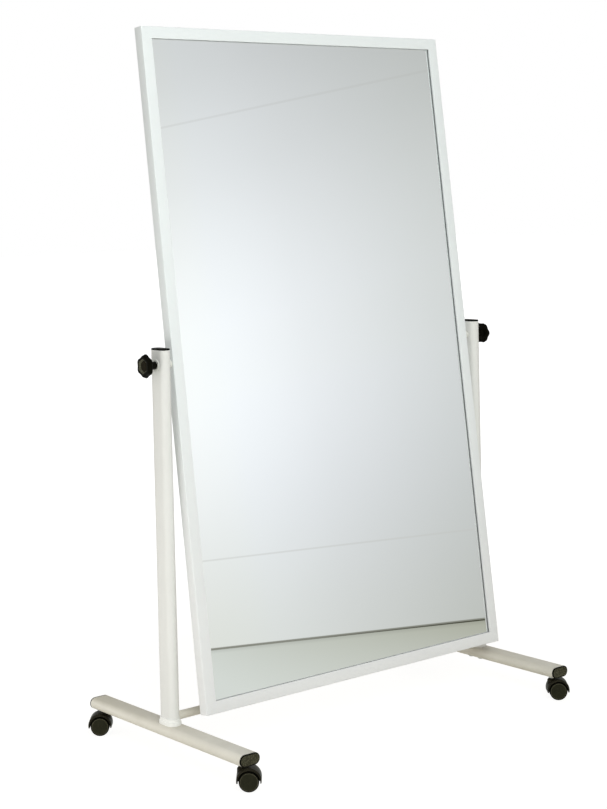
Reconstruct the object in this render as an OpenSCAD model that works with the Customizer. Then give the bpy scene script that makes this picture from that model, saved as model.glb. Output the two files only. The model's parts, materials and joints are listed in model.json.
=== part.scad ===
// Rolling floor mirror: a framed mirror that turns between two posts on a castered stand.
// Millimetres. X runs across the mirror, -Y is the front, +Z is up.
// The origin is on the floor, midway between the feet.

/* [Mirror panel] */
// Width of the panel over its frame
panel_w = 1040; // [700:10:1300]
// Height of the panel over its frame
panel_h = 1755; // [1000:5:2000]
// Lean of the panel at rest, top to the back, in degrees
panel_tilt = 7.0; // [0:0.1:20]
// Free height between the crossbar and the panel's lowest corner
panel_clear = 4.4; // [3:0.1:40]
// Height of the pivot above the panel's middle
pivot_up = 9.5; // [0:0.5:30]

/* [Frame profile] */
// Width of the profile's front face
frame_face = 31; // [28:0.5:45]
// Depth of the profile, front to back
frame_depth = 30; // [28:0.5:40]
// Wall of the hollow profile
profile_wall = 2; // [1.5:0.1:2.5]
// Width of the front lip that covers the edge of the glass
lip_w = 10; // [6:0.5:12]
// Thickness of the front lip
lip_t = 4; // [1.5:0.1:5]
// Height of the rim that stands behind the back panel's seat
rim_h = 6; // [5:0.5:8]
// Length of each leg of a corner key
key_leg = 70; // [40:1:80]

/* [Glass and back] */
// Thickness of the mirror glass
glass_t = 4; // [3:0.5:5]
// Gap round the edge of the glass
glass_gap = 1.5; // [0.5:0.1:2]
// Thickness of the board behind the glass
backing_t = 3; // [2:0.5:4]
// Width of the packing strips behind the board
strip_w = 20; // [12:1:40]
// Thickness of the back panel
back_t = 3; // [2:0.5:3.5]
// Gap between the back panel and the rim
back_gap = 1; // [0.5:0.1:2]
// Diameter of the back panel screws
panel_screw_d = 3.9; // [3:0.1:4.5]
// Length of the back panel screws under the head
panel_screw_len = 9.5; // [7:0.5:12]
// Head diameter of the back panel screws
panel_screw_head_d = 7.5; // [6:0.1:8.5]
// Head height of the back panel screws
panel_screw_head_h = 2.4; // [1.5:0.1:2.8]
// Screws in each stile, on each side of its middle
stile_screws = 3; // [2:1:4]
// Screws in each rail, on each side of its middle
rail_screws = 2; // [1:1:3]
// Distance from a corner to the nearest back panel screw
screw_end = 90; // [86:1:120]

/* [Posts and feet] */
// Long side of the flat-oval tube
tube_long = 60; // [56:1:70]
// Short side of the flat-oval tube
tube_short = 30; // [28:0.5:36]
// Wall of the flat-oval tube
tube_wall = 2; // [1.5:0.1:2.5]
// Length of a foot over its end plugs
foot_len = 666; // [500:2:900]
// Height of the post above the pivot, without its cap
post_over = 38; // [36:0.5:80]
// Thickness of the visible head of a tube plug
cap_t = 4; // [3:0.1:6]
// Depth that a tube plug reaches into its tube
cap_depth = 14; // [8:0.5:16]
// Bevel round the edge of that head
cap_edge = 1.2; // [0.5:0.1:2]

/* [Post base] */
// Wall of the base collar's lower step
collar_wall = 5; // [4:0.1:8]
// Height of the base collar's lower step above the foot
collar_low_h = 8.5; // [6:0.1:12]
// Height of the base collar's upper step
collar_top_h = 7; // [4:0.1:12]
// How far the upper step stands back from the lower one
collar_step = 2.2; // [1:0.1:3]
// Height of the solid plug in the foot of a post
base_plug_h = 70; // [50:1:100]
// Diameter of the foot bolts
foot_bolt_d = 8; // [6:0.5:8]
// Distance between the two bolts of a foot
foot_bolt_gap = 38; // [36:0.5:38]
// Depth of the bolts' thread in the base plug
foot_bolt_grip = 9; // [8:0.5:11]
// Height of a foot bolt's head
foot_bolt_head_h = 5.3; // [4:0.1:6]
// Width across the flats of a foot bolt's head
foot_bolt_flats = 13; // [10:0.5:13]
// Outer diameter of a foot bolt's washer
foot_washer_d = 17; // [15:0.5:20]
// Thickness of a foot bolt's washer
foot_washer_t = 1.6; // [1:0.1:2.5]
// Outer diameter of the sleeves that stop a foot being crushed
foot_sleeve_d = 12; // [11:0.5:14]

/* [Crossbar] */
// Diameter of the crossbar
bar_d = 22; // [18:0.5:25]
// Wall of the crossbar
bar_wall = 1.5; // [1:0.1:2]
// Height of the crossbar's middle above the foot
bar_lift = 15.5; // [15:0.1:30]
// Diameter of the spigots at the crossbar's ends
spigot_d = 12; // [10:0.5:14]
// Length of a spigot inside the crossbar
spigot_len = 40; // [20:1:60]
// Depth that a spigot reaches into the post
spigot_reach = 18; // [12:0.5:20]
// Diameter of the grub screws that hold the spigots
grub_d = 5; // [4:0.5:6]
// Length of those screws
grub_len = 8; // [5:0.5:10]
// How far below the crossbar's middle the grub screws sit
grub_drop = 2.5; // [0:0.1:3]
// Diameter of the hole in the post for the grub screw's key
key_hole_d = 4; // [3:0.5:5]

/* [Pivot and clamps] */
// Width of the spacer between post and panel
pivot_gap = 13; // [6:0.5:25]
// Outer diameter of that spacer
spacer_d = 22; // [18:0.5:28]
// Diameter of the clamping stud
stud_d = 10; // [8:0.5:10]
// Outer diameter of the sleeve through a post
sleeve_d = 14; // [13:0.5:16]
// Length of the block in a stile that takes the stud
block_len = 80; // [70:1:100]
// Diameter of the screws that hold the block
block_screw_d = 5; // [4:0.5:6]
// Distance between the two screws of a block
block_screw_gap = 50; // [30:1:60]
// Gap between the stud's tip and the far side of that block
stud_tip_gap = 1.5; // [0.5:0.5:5]
// Outer diameter of the washer under a knob
washer_d = 29; // [24:0.5:30]
// Thickness of that washer
washer_t = 2.5; // [1.5:0.1:4]
// Diameter of the knob over its lobes
knob_d = 61; // [50:1:75]
// Number of lobes
knob_lobes = 6; // [5:1:7]
// Radius of the hollow between two lobes
scallop_r = 30; // [8:0.5:40]
// Depth of that hollow
scallop_depth = 3; // [2:0.5:8]
// Diameter of the knob's neck
neck_d = 20; // [18:0.5:26]
// Length of the knob's neck
neck_len = 25.5; // [14:0.5:40]
// Thickness of the knob's head at its rim
head_t = 11; // [10:0.5:20]
// Crown of the knob's outer face
head_crown = 3; // [1:0.1:6]
// How much smaller the head's radius is at its outer face
head_taper = 3; // [0:0.5:5]
// Bevel at the back of the head
head_edge = 3; // [1:0.5:4]
// Height and width of the flare where the neck meets the head
neck_flare = 5; // [2:0.5:6]
// Depth of the stud in the knob
stud_in_knob = 20; // [12:1:24]

/* [Casters] */
// Diameter of a wheel
wheel_d = 50; // [40:1:75]
// Width of a wheel
wheel_w = 17; // [12:0.5:24]
// Web between the two wheels of a caster
web_t = 7; // [5:0.5:10]
// Wall round the axle in the web
axle_hub_wall = 5; // [3:0.5:8]
// Gap between web and wheel
wheel_gap = 0.8; // [0.4:0.1:2]
// Diameter of the axle
axle_d = 6; // [5:0.5:8]
// Thickness of a wheel's outer face over the end of its bore
wheel_face_t = 3; // [2:0.5:5]
// Gap between the axle's end and the bottom of that bore
axle_end_gap = 1; // [0.5:0.5:2]
// Wall of a wheel's hub round the axle
wheel_hub_wall = 3.5; // [2:0.5:5]
// Thickness of a wheel's tread
tread_t = 5; // [3:0.5:8]
// Depth of the recess between hub and tread, on a wheel's inner side
wheel_recess = 7.5; // [3:0.5:8]
// Bevel on the inner edge of the tread
tread_edge = 0.8; // [0.4:0.1:2]
// Rounding on the outer edge of the tread
tread_shoulder = 2.4; // [1:0.1:4]
// Distance from the swivel axis back to the axle
trail = 15.5; // [14:0.5:22]
// Gap between the tread and the hood
hood_gap = 2.5; // [1.5:0.1:5]
// Side wall of the hood
hood_wall = 3.5; // [2.5:0.1:6]
// How far the hood's round top sits above the axle
hood_rise = 3.0; // [2:0.1:10]
// Height of the hood's lower edge above the floor
hood_skirt = 22; // [18:0.5:24]
// Diameter of the boss that turns on the stem
boss_d = 20; // [18:0.5:24]
// Diameter of the stem's pin in the boss
pin_d = 8; // [6:0.5:8]
// Depth of the pin in the boss
pin_depth = 8.5; // [6:0.1:9]
// Diameter of the stem in its socket
stem_d = 10; // [8:0.5:10]
// Length of the stem in its socket
stem_len = 24; // [16:0.5:26]
// Height of the stem's collar
stem_collar_h = 4.5; // [3:0.1:8]
// How far the stem's collar stands out from the stem
stem_collar_out = 3; // [2:0.5:4]
// Outer diameter of the socket in the foot
socket_d = 14; // [13:0.5:16]
// Thickness of the socket's flange under the foot
socket_flange_t = 2; // [1:0.1:3]
// How far that flange stands out from the socket
socket_flange_out = 3; // [2:0.5:5]
// Distance from a foot's end to a caster's swivel axis
caster_inset = 32; // [30:0.5:60]
// Heading of the casters at rest, in degrees from straight sideways
caster_turn = 39; // [0:1:90]

/* [Fits] */
// Radial clearance of a shaft that turns in its bore
run_clear = 0.05; // [0.02:0.01:0.1]
// Radial clearance of a piece that is pushed into another
push_clear = 0.1; // [0.02:0.01:0.2]
// Gap between the stem's collar and the turning boss
swivel_gap = 0.5; // [0.3:0.1:1]
// Gap between a spacer and the panel while the knobs are slack
side_gap = 0.1; // [0.05:0.05:0.3]

/* [Hidden] */
// Curves are smooth at this setting
$fn = 64;
eps = 0.01;

LEFT = -1;
RIGHT = 1;
SIDES = [LEFT, RIGHT];
FRONT = -1;
REAR = 1;
ENDS = [FRONT, REAR];

// Each foot end: name, side, end
CORNERS = [
    ["front_left", LEFT, FRONT],
    ["rear_left", LEFT, REAR],
    ["front_right", RIGHT, FRONT],
    ["rear_right", RIGHT, REAR]
];

// Casters, from the floor up
wheel_r = wheel_d / 2;
cavity_r = wheel_r + hood_gap;
hood_r = cavity_r + hood_wall;
hood_mid_z = wheel_r + hood_rise;
hood_top_z = hood_mid_z + hood_r;
wheel_inner = web_t / 2 + wheel_gap;
housing_w = 2 * (wheel_inner + wheel_w + wheel_gap);
axle_hub_r = axle_d / 2 + axle_hub_wall;
wheel_bore_depth = wheel_w - wheel_face_t;
axle_len = 2 * (wheel_inner + wheel_bore_depth - axle_end_gap);
stem_collar_z = hood_top_z + swivel_gap;
socket_z = stem_collar_z + stem_collar_h;

// Feet
foot_z = socket_z + socket_flange_t;
foot_mid_z = foot_z + tube_short / 2;
foot_top_z = foot_z + tube_short;
foot_tube_len = foot_len - 2 * cap_t;
caster_y = foot_len / 2 - caster_inset;
foot_bolt_y = foot_bolt_gap / 2;

// Crossbar, panel and posts
post_x = panel_w / 2 + pivot_gap + tube_short / 2;
bar_z = foot_top_z + bar_lift;
pivot_z = bar_z + bar_d / 2 + panel_clear + norm([panel_h / 2 + pivot_up, frame_depth / 2]);
grub_z = bar_z - grub_drop;
post_top_z = pivot_z + post_over;
bar_len = 2 * post_x - tube_short;
bar_bore_d = bar_d - 2 * bar_wall;

// Places across the depth of the panel, measured from its front face
seat_w = frame_depth - rim_h;
web_u = frame_face - lip_w;
chamber = [web_u - 2 * profile_wall, seat_w - 2 * profile_wall];
glass_w = lip_t;
backing_w = glass_w + glass_t;
strip_front_w = backing_w + backing_t;
strip_t = seat_w - strip_front_w;
glass_in = web_u + glass_gap;
back_in = profile_wall + back_gap;
screw_in = web_u / 2;
chamber_mid_y = -frame_depth / 2 + profile_wall + chamber[1] / 2;
seat_y = -frame_depth / 2 + seat_w;

stile_screw_pitch = (panel_h / 2 - screw_end) / stile_screws;
rail_screw_pitch = (panel_w / 2 - screw_end) / rail_screws;
// Back panel screws on one stile and on one rail, from its middle
stile_screw_at = [for (i = [-stile_screws:stile_screws]) if (i != 0) i * stile_screw_pitch];
rail_screw_at = [for (i = [-rail_screws:rail_screws]) i * rail_screw_pitch];

// Clamps
head_z = washer_t + neck_len;
block_t = chamber[0] - 2 * push_clear;
stud_inside = tube_short + pivot_gap + profile_wall + push_clear + block_t - stud_tip_gap;
scallop_at = knob_d / 2 - scallop_depth + scallop_r;
crown_r = (pow(knob_d / 2, 2) + pow(head_crown, 2)) / (2 * head_crown);

WHITE = [0.93, 0.95, 0.94];
WARM_WHITE = [0.89, 0.87, 0.83];
BLACK = [0.14, 0.13, 0.11];
STEEL = [0.72, 0.73, 0.75];
PALE = [0.88, 0.88, 0.84];
GLASS = [0.82, 0.89, 0.90];
BOARD = [0.62, 0.52, 0.40];

// ---------- shared shapes ----------

// Flat-oval outline, long side along X
module flat_oval(long, short) {
    square([long - short, short], center = true);
    for (end = ENDS)
        translate([end * (long - short) / 2, 0])
            circle(d = short);
}

// Flat-oval outline of the tube, grown (or shrunk) all round by an offset
module tube_outline(grow = 0) {
    flat_oval(tube_long + 2 * grow, tube_short + 2 * grow);
}

// Straight flat-oval tube along Z, from z = 0
module oval_tube(len) {
    difference() {
        linear_extrude(height = len)
            tube_outline();
        translate([0, 0, -1])
            linear_extrude(height = len + 2)
                tube_outline(-tube_wall);
    }
}

// Plug for the end of a tube: head from z = 0 up, shank down into the tube
module tube_plug() {
    linear_extrude(height = cap_t - cap_edge)
        tube_outline();
    translate([0, 0, cap_t - cap_edge])
        linear_extrude(height = cap_edge)
            tube_outline(-cap_edge);
    translate([0, 0, -cap_depth])
        linear_extrude(height = cap_depth)
            tube_outline(-tube_wall - push_clear);
}

// Cylinder along X, from x = 0 towards +X
module rod_x(d, len) {
    rotate([0, 90, 0])
        cylinder(d = d, h = len);
}

// Cylinder along Y, from y = 0 towards +Y
module rod_y(d, len) {
    rotate([-90, 0, 0])
        cylinder(d = d, h = len);
}

// Flat ring round Z
module ring(outer_d, inner_d, h) {
    difference() {
        cylinder(d = outer_d, h = h);
        translate([0, 0, -1])
            cylinder(d = inner_d, h = h + 2);
    }
}

// Places children at a post, with X pointing away from the panel
module at_post(side) {
    translate([side * post_x, 0, 0])
        mirror([side == LEFT ? 1 : 0, 0, 0])
            children();
}

// Places children at both posts
module at_posts() {
    for (side = SIDES)
        at_post(side)
            children();
}

// Places children at the two bolts of each foot
module at_foot_bolts() {
    for (side = SIDES)
        for (end = ENDS)
            translate([side * post_x, end * foot_bolt_y, 0])
                children();
}

// Places children at one caster's swivel axis, with X pointing to the trailing side
module at_caster(c) {
    translate([c[1] * post_x, c[2] * caster_y, 0])
        rotate([0, 0, c[2] == FRONT ? -caster_turn : 180 - caster_turn])
            children();
}

// Places children in the panel's own frame: the origin at its middle, the panel upright
module in_panel() {
    translate([0, 0, pivot_z])
        rotate([-panel_tilt, 0, 0])
            translate([0, 0, -pivot_up])
                children();
}

// Places children in that frame at the height of the pivot, once for each stile
module at_panel_pivots() {
    in_panel()
        for (side = SIDES)
            mirror([side == RIGHT ? 1 : 0, 0, 0])
                translate([-panel_w / 2, 0, pivot_up])
                    children();
}

// Places children on a clamp's axis: z = 0 at the post's outer face, Z pointing away from it
module at_clamp(side) {
    translate([side * (post_x + tube_short / 2), 0, pivot_z])
        rotate([0, side * 90, 0])
            children();
}

// ---------- stand ----------

module foot(side) {
    color(WARM_WHITE)
        difference() {
            translate([side * post_x, foot_tube_len / 2, foot_mid_z])
                rotate([90, 0, 0])
                    oval_tube(foot_tube_len);
            for (end = ENDS)
                translate([side * post_x, end * foot_bolt_y, foot_z - 1])
                    cylinder(d = foot_bolt_d + 2 * push_clear, h = tube_short + 2);
            for (end = ENDS)
                translate([side * post_x, end * caster_y, foot_z - 1])
                    cylinder(d = socket_d + 2 * push_clear, h = tube_short / 2);
        }
}

module foot_plug(c) {
    color(BLACK)
        translate([c[1] * post_x, c[2] * foot_tube_len / 2, foot_mid_z])
            rotate([c[2] * -90, 0, 0])
                tube_plug();
}

module post(side) {
    at_post(side)
        color(WHITE)
            difference() {
                translate([0, 0, foot_top_z])
                    rotate([0, 0, 90])
                        oval_tube(post_top_z - foot_top_z);
                translate([-tube_short / 2 - 1, 0, pivot_z])
                    rod_x(sleeve_d + 2 * push_clear, tube_short + 2);
                translate([-tube_short / 2 - 1, 0, bar_z])
                    rod_x(spigot_d + 2 * push_clear, tube_short / 2);
                translate([0, tube_long / 4, grub_z])
                    rod_y(key_hole_d, tube_long / 2);
            }
}

module post_cap(side) {
    at_post(side)
        color(BLACK)
            translate([0, 0, post_top_z])
                rotate([0, 0, 90])
                    tube_plug();
}

// Two-step collar that sits astride the foot and leaves room for the crossbar
module base_collar(side) {
    drop = tube_short / 4;
    at_post(side)
        color(WHITE)
            difference() {
                union() {
                    translate([0, 0, foot_top_z - drop])
                        rotate([0, 0, 90])
                            linear_extrude(height = collar_low_h + drop)
                                tube_outline(collar_wall);
                    translate([0, 0, foot_top_z])
                        rotate([0, 0, 90])
                            linear_extrude(height = collar_low_h + collar_top_h)
                                tube_outline(collar_wall - collar_step);
                }
                translate([0, 0, foot_top_z - drop - 1])
                    rotate([0, 0, 90])
                        linear_extrude(height = drop + collar_low_h + collar_top_h + 2)
                            tube_outline(push_clear);
                translate([0, tube_long, foot_mid_z])
                    rotate([90, 0, 0])
                        linear_extrude(height = 2 * tube_long)
                            tube_outline();
                translate([-tube_long, 0, bar_z])
                    rod_x(bar_d + 2 * push_clear, tube_long);
            }
}

// Solid plugs in the lower ends of the posts, which take the foot bolts and the crossbar
module base_plugs() {
    at_posts()
        color(STEEL)
            difference() {
                translate([0, 0, foot_top_z])
                    rotate([0, 0, 90])
                        linear_extrude(height = base_plug_h)
                            tube_outline(-tube_wall - push_clear);
                for (end = ENDS)
                    translate([0, end * foot_bolt_y, foot_top_z - 1])
                        cylinder(d = foot_bolt_d, h = foot_bolt_grip + 1);
                translate([-tube_short / 2, 0, bar_z])
                    rod_x(spigot_d + 2 * push_clear, spigot_reach);
                translate([0, spigot_d / 2 - 1, grub_z])
                    rod_y(grub_d, tube_long / 2);
            }
}

module foot_bolts() {
    head_z0 = foot_z - foot_washer_t - foot_bolt_head_h;
    at_foot_bolts()
        color(STEEL) {
            translate([0, 0, head_z0])
                cylinder(d = foot_bolt_flats / cos(30), h = foot_bolt_head_h, $fn = 6);
            translate([0, 0, head_z0 + eps])
                cylinder(d = foot_bolt_d, h = foot_top_z + foot_bolt_grip - head_z0 - eps);
        }
}

module foot_washers() {
    at_foot_bolts()
        color(STEEL)
            translate([0, 0, foot_z - foot_washer_t])
                ring(foot_washer_d, foot_bolt_d + 2 * push_clear, foot_washer_t);
}

module foot_sleeves() {
    at_foot_bolts()
        color(STEEL)
            translate([0, 0, foot_z + tube_wall])
                ring(foot_sleeve_d, foot_bolt_d + 2 * push_clear, tube_short - 2 * tube_wall);
}

module crossbar() {
    color(WARM_WHITE)
        translate([-bar_len / 2, 0, bar_z])
            difference() {
                rod_x(bar_d, bar_len);
                translate([-1, 0, 0])
                    rod_x(bar_bore_d, bar_len + 2);
            }
}

module crossbar_spigots() {
    for (side = SIDES)
        at_post(side)
            color(STEEL)
                translate([-tube_short / 2, 0, bar_z]) {
                    rod_x(spigot_d, spigot_reach);
                    translate([-spigot_len, 0, 0])
                        rod_x(bar_bore_d - 2 * push_clear, spigot_len);
                }
}

module spigot_grub_screws() {
    at_posts()
        color(STEEL)
            translate([0, spigot_d / 2, grub_z])
                rod_y(grub_d, grub_len);
}

// Sockets in the feet that take the casters' stems
module caster_sockets() {
    flange_d = socket_d + 2 * socket_flange_out;
    bore_d = stem_d + 2 * push_clear;
    for (c = CORNERS)
        at_caster(c)
            color(BLACK) {
                translate([0, 0, socket_z])
                    ring(flange_d, bore_d, socket_flange_t);
                translate([0, 0, socket_z + eps])
                    ring(socket_d, bore_d, socket_flange_t + tube_short - tube_wall - eps);
            }
}

module caster_stems() {
    collar_d = stem_d + 2 * stem_collar_out;
    for (c = CORNERS)
        at_caster(c)
            color(STEEL) {
                translate([0, 0, stem_collar_z])
                    cylinder(d = collar_d, h = stem_collar_h);
                translate([0, 0, stem_collar_z + eps])
                    cylinder(d = stem_d, h = stem_collar_h + stem_len);
                translate([0, 0, hood_top_z - pin_depth])
                    cylinder(d = pin_d, h = pin_depth + swivel_gap + eps);
            }
}

// Sleeves through the posts that the studs turn in
module pivot_sleeves() {
    at_posts()
        color(STEEL)
            translate([-tube_short / 2, 0, pivot_z])
                rotate([0, 90, 0])
                    ring(sleeve_d, stud_d + 2 * run_clear, tube_short);
}

// Pale spacers between the posts and the panel
module pivot_spacers() {
    at_posts()
        color(PALE)
            translate([-tube_short / 2 - pivot_gap + side_gap, 0, pivot_z])
                rotate([0, 90, 0])
                    ring(spacer_d, stud_d + 2 * run_clear, pivot_gap - side_gap);
}

// ---------- mirror panel ----------

// Section of the frame profile: x from the outer edge inwards, y from the front face back
module profile_section() {
    difference() {
        union() {
            square([web_u, seat_w]);
            square([frame_face, lip_t]);
            square([profile_wall, frame_depth]);
        }
        translate([profile_wall, profile_wall])
            square(chamber);
    }
}

// One mitred length of the profile: section in XY, length along Z, outer edge at x = 0
module mitred_profile(len) {
    intersection() {
        linear_extrude(height = len)
            profile_section();
        translate([0, frame_depth + 1, 0])
            rotate([90, 0, 0])
                linear_extrude(height = frame_depth + 2)
                    polygon([
                        [0, 0],
                        [0, len],
                        [frame_face, len - frame_face],
                        [frame_face, frame_face]
                    ]);
    }
}

// Screw holes through the seat, at given places along Z
module seat_holes(places, d) {
    for (z = places)
        translate([screw_in, seat_w - profile_wall - 1, z])
            rod_y(d, profile_wall + 2);
}

// A stile stands at the left in its own frame, outer edge at x = 0, its middle at z = 0
module stile_shape() {
    difference() {
        translate([0, 0, -panel_h / 2])
            mitred_profile(panel_h);
        seat_holes(stile_screw_at, panel_screw_d);
        for (end = ENDS)
            translate([screw_in, seat_w - profile_wall, pivot_up + end * block_screw_gap / 2])
                rotate([-90, 0, 0])
                    translate([0, 0, -eps])
                        cylinder(d1 = block_screw_d, d2 = block_screw_d + 2 * profile_wall,
                            h = profile_wall + 2 * eps);
        translate([-1, frame_depth / 2, pivot_up])
            rod_x(stud_d + 1, profile_wall + 2);
    }
}

module stile(side) {
    color(WHITE)
        in_panel()
            mirror([side == RIGHT ? 1 : 0, 0, 0])
                translate([-panel_w / 2, -frame_depth / 2, 0])
                    stile_shape();
}

// A rail lies at the top or at the bottom
module rail(end) {
    color(WHITE)
        in_panel()
            mirror([0, 0, end == FRONT ? 1 : 0])
                translate([0, -frame_depth / 2, panel_h / 2])
                    rotate([0, 90, 0])
                        difference() {
                            translate([0, 0, -panel_w / 2])
                                mitred_profile(panel_w);
                            seat_holes(rail_screw_at, panel_screw_d);
                        }
}

// Angle pieces inside the mitred corners
module corner_keys() {
    key = [chamber[0] - 2 * push_clear, chamber[1] - 2 * push_clear];
    start = profile_wall + push_clear;
    color(STEEL)
        in_panel()
            for (side = SIDES, end = ENDS)
                at_panel_corner(side, end)
                    translate([start, -frame_depth / 2 + start, start]) {
                        cube([key[0], key[1], key_leg]);
                        cube([key_leg, key[1], key[0]]);
                    }
}

// Moves children from the panel's lower left corner to any corner
module at_panel_corner(side, end) {
    mirror([side == RIGHT ? 1 : 0, 0, 0])
        mirror([0, 0, end == REAR ? 1 : 0])
            translate([-panel_w / 2, 0, -panel_h / 2])
                children();
}

// Flat sheet in the panel, set in from its outer edge, from one depth to the next
module sheet(inset, front, thickness) {
    translate([-panel_w / 2 + inset, -frame_depth / 2 + front, -panel_h / 2 + inset])
        cube([panel_w - 2 * inset, thickness, panel_h - 2 * inset]);
}

module mirror_glass() {
    color(GLASS)
        in_panel()
            sheet(glass_in, glass_w, glass_t);
}

module backing_board() {
    color(BOARD)
        in_panel()
            sheet(glass_in, backing_w, backing_t);
}

// Strips that press the board and the glass against the lip
module packing_strips() {
    tall = panel_h - 2 * glass_in;
    wide = panel_w - 2 * glass_in - 2 * strip_w;
    color(BOARD)
        in_panel()
            for (side = SIDES) {
                translate([side * (panel_w / 2 - glass_in - strip_w / 2), 0, 0])
                    strip([strip_w, tall]);
                translate([0, 0, side * (panel_h / 2 - glass_in - strip_w / 2)])
                    strip([wide - 2 * push_clear, strip_w]);
            }
}

// One packing strip, centred, of a given width and height
module strip(size) {
    translate([-size[0] / 2, -frame_depth / 2 + strip_front_w, -size[1] / 2])
        cube([size[0], strip_t, size[1]]);
}

// Places children at every back panel screw, with Y pointing out of the back
module at_panel_screws() {
    for (side = SIDES) {
        for (z = stile_screw_at)
            translate([side * (panel_w / 2 - screw_in), seat_y, z])
                children();
        for (x = rail_screw_at)
            translate([x, seat_y, side * (panel_h / 2 - screw_in)])
                children();
    }
}

module back_panel() {
    color(PALE)
        in_panel()
            difference() {
                sheet(back_in, seat_w, back_t);
                at_panel_screws()
                    translate([0, -1, 0])
                        rod_y(panel_screw_d + 2 * push_clear, back_t + 2);
            }
}

module back_panel_screws() {
    color(STEEL)
        in_panel()
            at_panel_screws() {
                translate([0, back_t, 0])
                    rotate([-90, 0, 0])
                        cylinder(d1 = panel_screw_head_d, d2 = panel_screw_head_d - 2,
                            h = panel_screw_head_h);
                translate([0, back_t - panel_screw_len, 0])
                    rod_y(panel_screw_d, panel_screw_len + eps);
            }
}

// Threaded blocks inside the stiles
module pivot_blocks() {
    size = [block_t, chamber[1] - 2 * push_clear, block_len];
    color(STEEL)
        at_panel_pivots()
            difference() {
                translate([profile_wall + push_clear, chamber_mid_y - size[1] / 2, -block_len / 2])
                    cube(size);
                rod_x(stud_d + 2 * run_clear, frame_face);
                for (end = ENDS)
                    translate([screw_in, chamber_mid_y, end * block_screw_gap / 2])
                        rod_y(block_screw_d, chamber[1]);
            }
}

module pivot_block_screws() {
    tip_y = chamber_mid_y + eps;
    color(STEEL)
        at_panel_pivots()
            for (end = ENDS)
                translate([screw_in, 0, end * block_screw_gap / 2]) {
                    translate([0, tip_y, 0])
                        rod_y(block_screw_d, seat_y - profile_wall + eps - tip_y);
                    translate([0, seat_y - profile_wall, 0])
                        rotate([-90, 0, 0])
                            cylinder(d1 = block_screw_d, d2 = block_screw_d + 2 * (profile_wall - eps),
                                h = profile_wall - eps);
                }
}

// ---------- clamps ----------

module clamp_washer(side) {
    color(PALE)
        at_clamp(side)
            ring(washer_d, stud_d + 2 * push_clear, washer_t);
}

module knob_outline() {
    difference() {
        circle(d = knob_d);
        for (i = [0:knob_lobes - 1])
            rotate((i + 0.5) * 360 / knob_lobes)
                translate([scallop_at, 0])
                    circle(r = scallop_r);
    }
}

// Lobed knob on a neck, with a crowned outer face
module knob(side) {
    rim_r = knob_d / 2;
    top = head_t + head_crown;
    first_lobe = side == RIGHT ? 90 : 0;
    color(BLACK)
        at_clamp(side)
            difference() {
                union() {
                    translate([0, 0, washer_t])
                        cylinder(d = neck_d, h = neck_len + head_edge);
                    translate([0, 0, head_z - neck_flare])
                        cylinder(d1 = neck_d, d2 = neck_d + 2 * neck_flare, h = neck_flare);
                    translate([0, 0, head_z])
                        intersection() {
                            rotate(first_lobe)
                                linear_extrude(height = top)
                                    knob_outline();
                            rotate_extrude()
                                polygon([
                                    [0, 0],
                                    [rim_r - head_edge, 0],
                                    [rim_r, head_edge],
                                    [rim_r - head_taper, head_t],
                                    [rim_r - head_taper, top],
                                    [0, top]
                                ]);
                            translate([0, 0, top - crown_r])
                                sphere(r = crown_r, $fn = 128);
                        }
                }
                translate([0, 0, washer_t - 1])
                    cylinder(d = stud_d, h = stud_in_knob + 1);
            }
}

module stud(side) {
    color(STEEL)
        at_clamp(side)
            translate([0, 0, -stud_inside])
                cylinder(d = stud_d, h = stud_inside + washer_t + stud_in_knob - eps);
}

// ---------- casters ----------

// Side view of the hood, without its boss: x along the trail, y up
module hood_outline() {
    intersection() {
        translate([trail, hood_mid_z])
            circle(r = hood_r);
        translate([trail - 2 * hood_r, hood_skirt])
            square([4 * hood_r, 4 * hood_r]);
    }
}

// Hood over both wheels, the web between them and the boss on the stem
module caster_housing(c) {
    at_caster(c)
        color(BLACK)
            difference() {
                union() {
                    rotate([90, 0, 0])
                        translate([0, 0, -housing_w / 2])
                            linear_extrude(height = housing_w)
                                hood_outline();
                    translate([0, 0, hood_mid_z])
                        cylinder(d = boss_d, h = hood_r);
                    translate([trail, web_t / 2, wheel_r])
                        rotate([90, 0, 0])
                            cylinder(r = axle_hub_r, h = web_t);
                }
                for (way = ENDS)
                    translate([trail, way == FRONT ? -housing_w : web_t / 2, wheel_r])
                        rod_y(2 * cavity_r, housing_w - (way == FRONT ? web_t / 2 : 0));
                translate([trail, -housing_w / 2, wheel_r])
                    rod_y(axle_d, housing_w);
                translate([0, 0, hood_top_z - pin_depth - run_clear])
                    cylinder(d = pin_d + 2 * run_clear, h = pin_depth + 1);
            }
}

module axle(c) {
    at_caster(c)
        color(STEEL)
            translate([trail, -axle_len / 2, wheel_r])
                rod_y(axle_d, axle_len);
}

// Half section of a wheel: x from its axis out, y from its inner side to its outer face
module wheel_section() {
    bore_r = axle_d / 2 + run_clear;
    hub_r = axle_d / 2 + wheel_hub_wall;
    rim_r = wheel_r - tread_t;
    round_x = wheel_r - tread_shoulder;
    round_y = wheel_w - tread_shoulder;
    polygon([
        [0, wheel_bore_depth],
        [bore_r, wheel_bore_depth],
        [bore_r, 0],
        [hub_r, 0],
        [hub_r, wheel_recess],
        [rim_r, wheel_recess],
        [rim_r, 0],
        [wheel_r - tread_edge, 0],
        [wheel_r, tread_edge],
        for (a = [0:30:90])
            [round_x + tread_shoulder * cos(a), round_y + tread_shoulder * sin(a)],
        [0, wheel_w]
    ]);
}

// A wheel on either side of the web: way is -1 or 1 along the axle
module wheel(c, way) {
    at_caster(c)
        color(BLACK)
            translate([trail, way * wheel_inner, wheel_r])
                rotate([way * -90, 0, 0])
                    rotate_extrude()
                        wheel_section();
}

// ---------- nodes ----------

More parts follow.
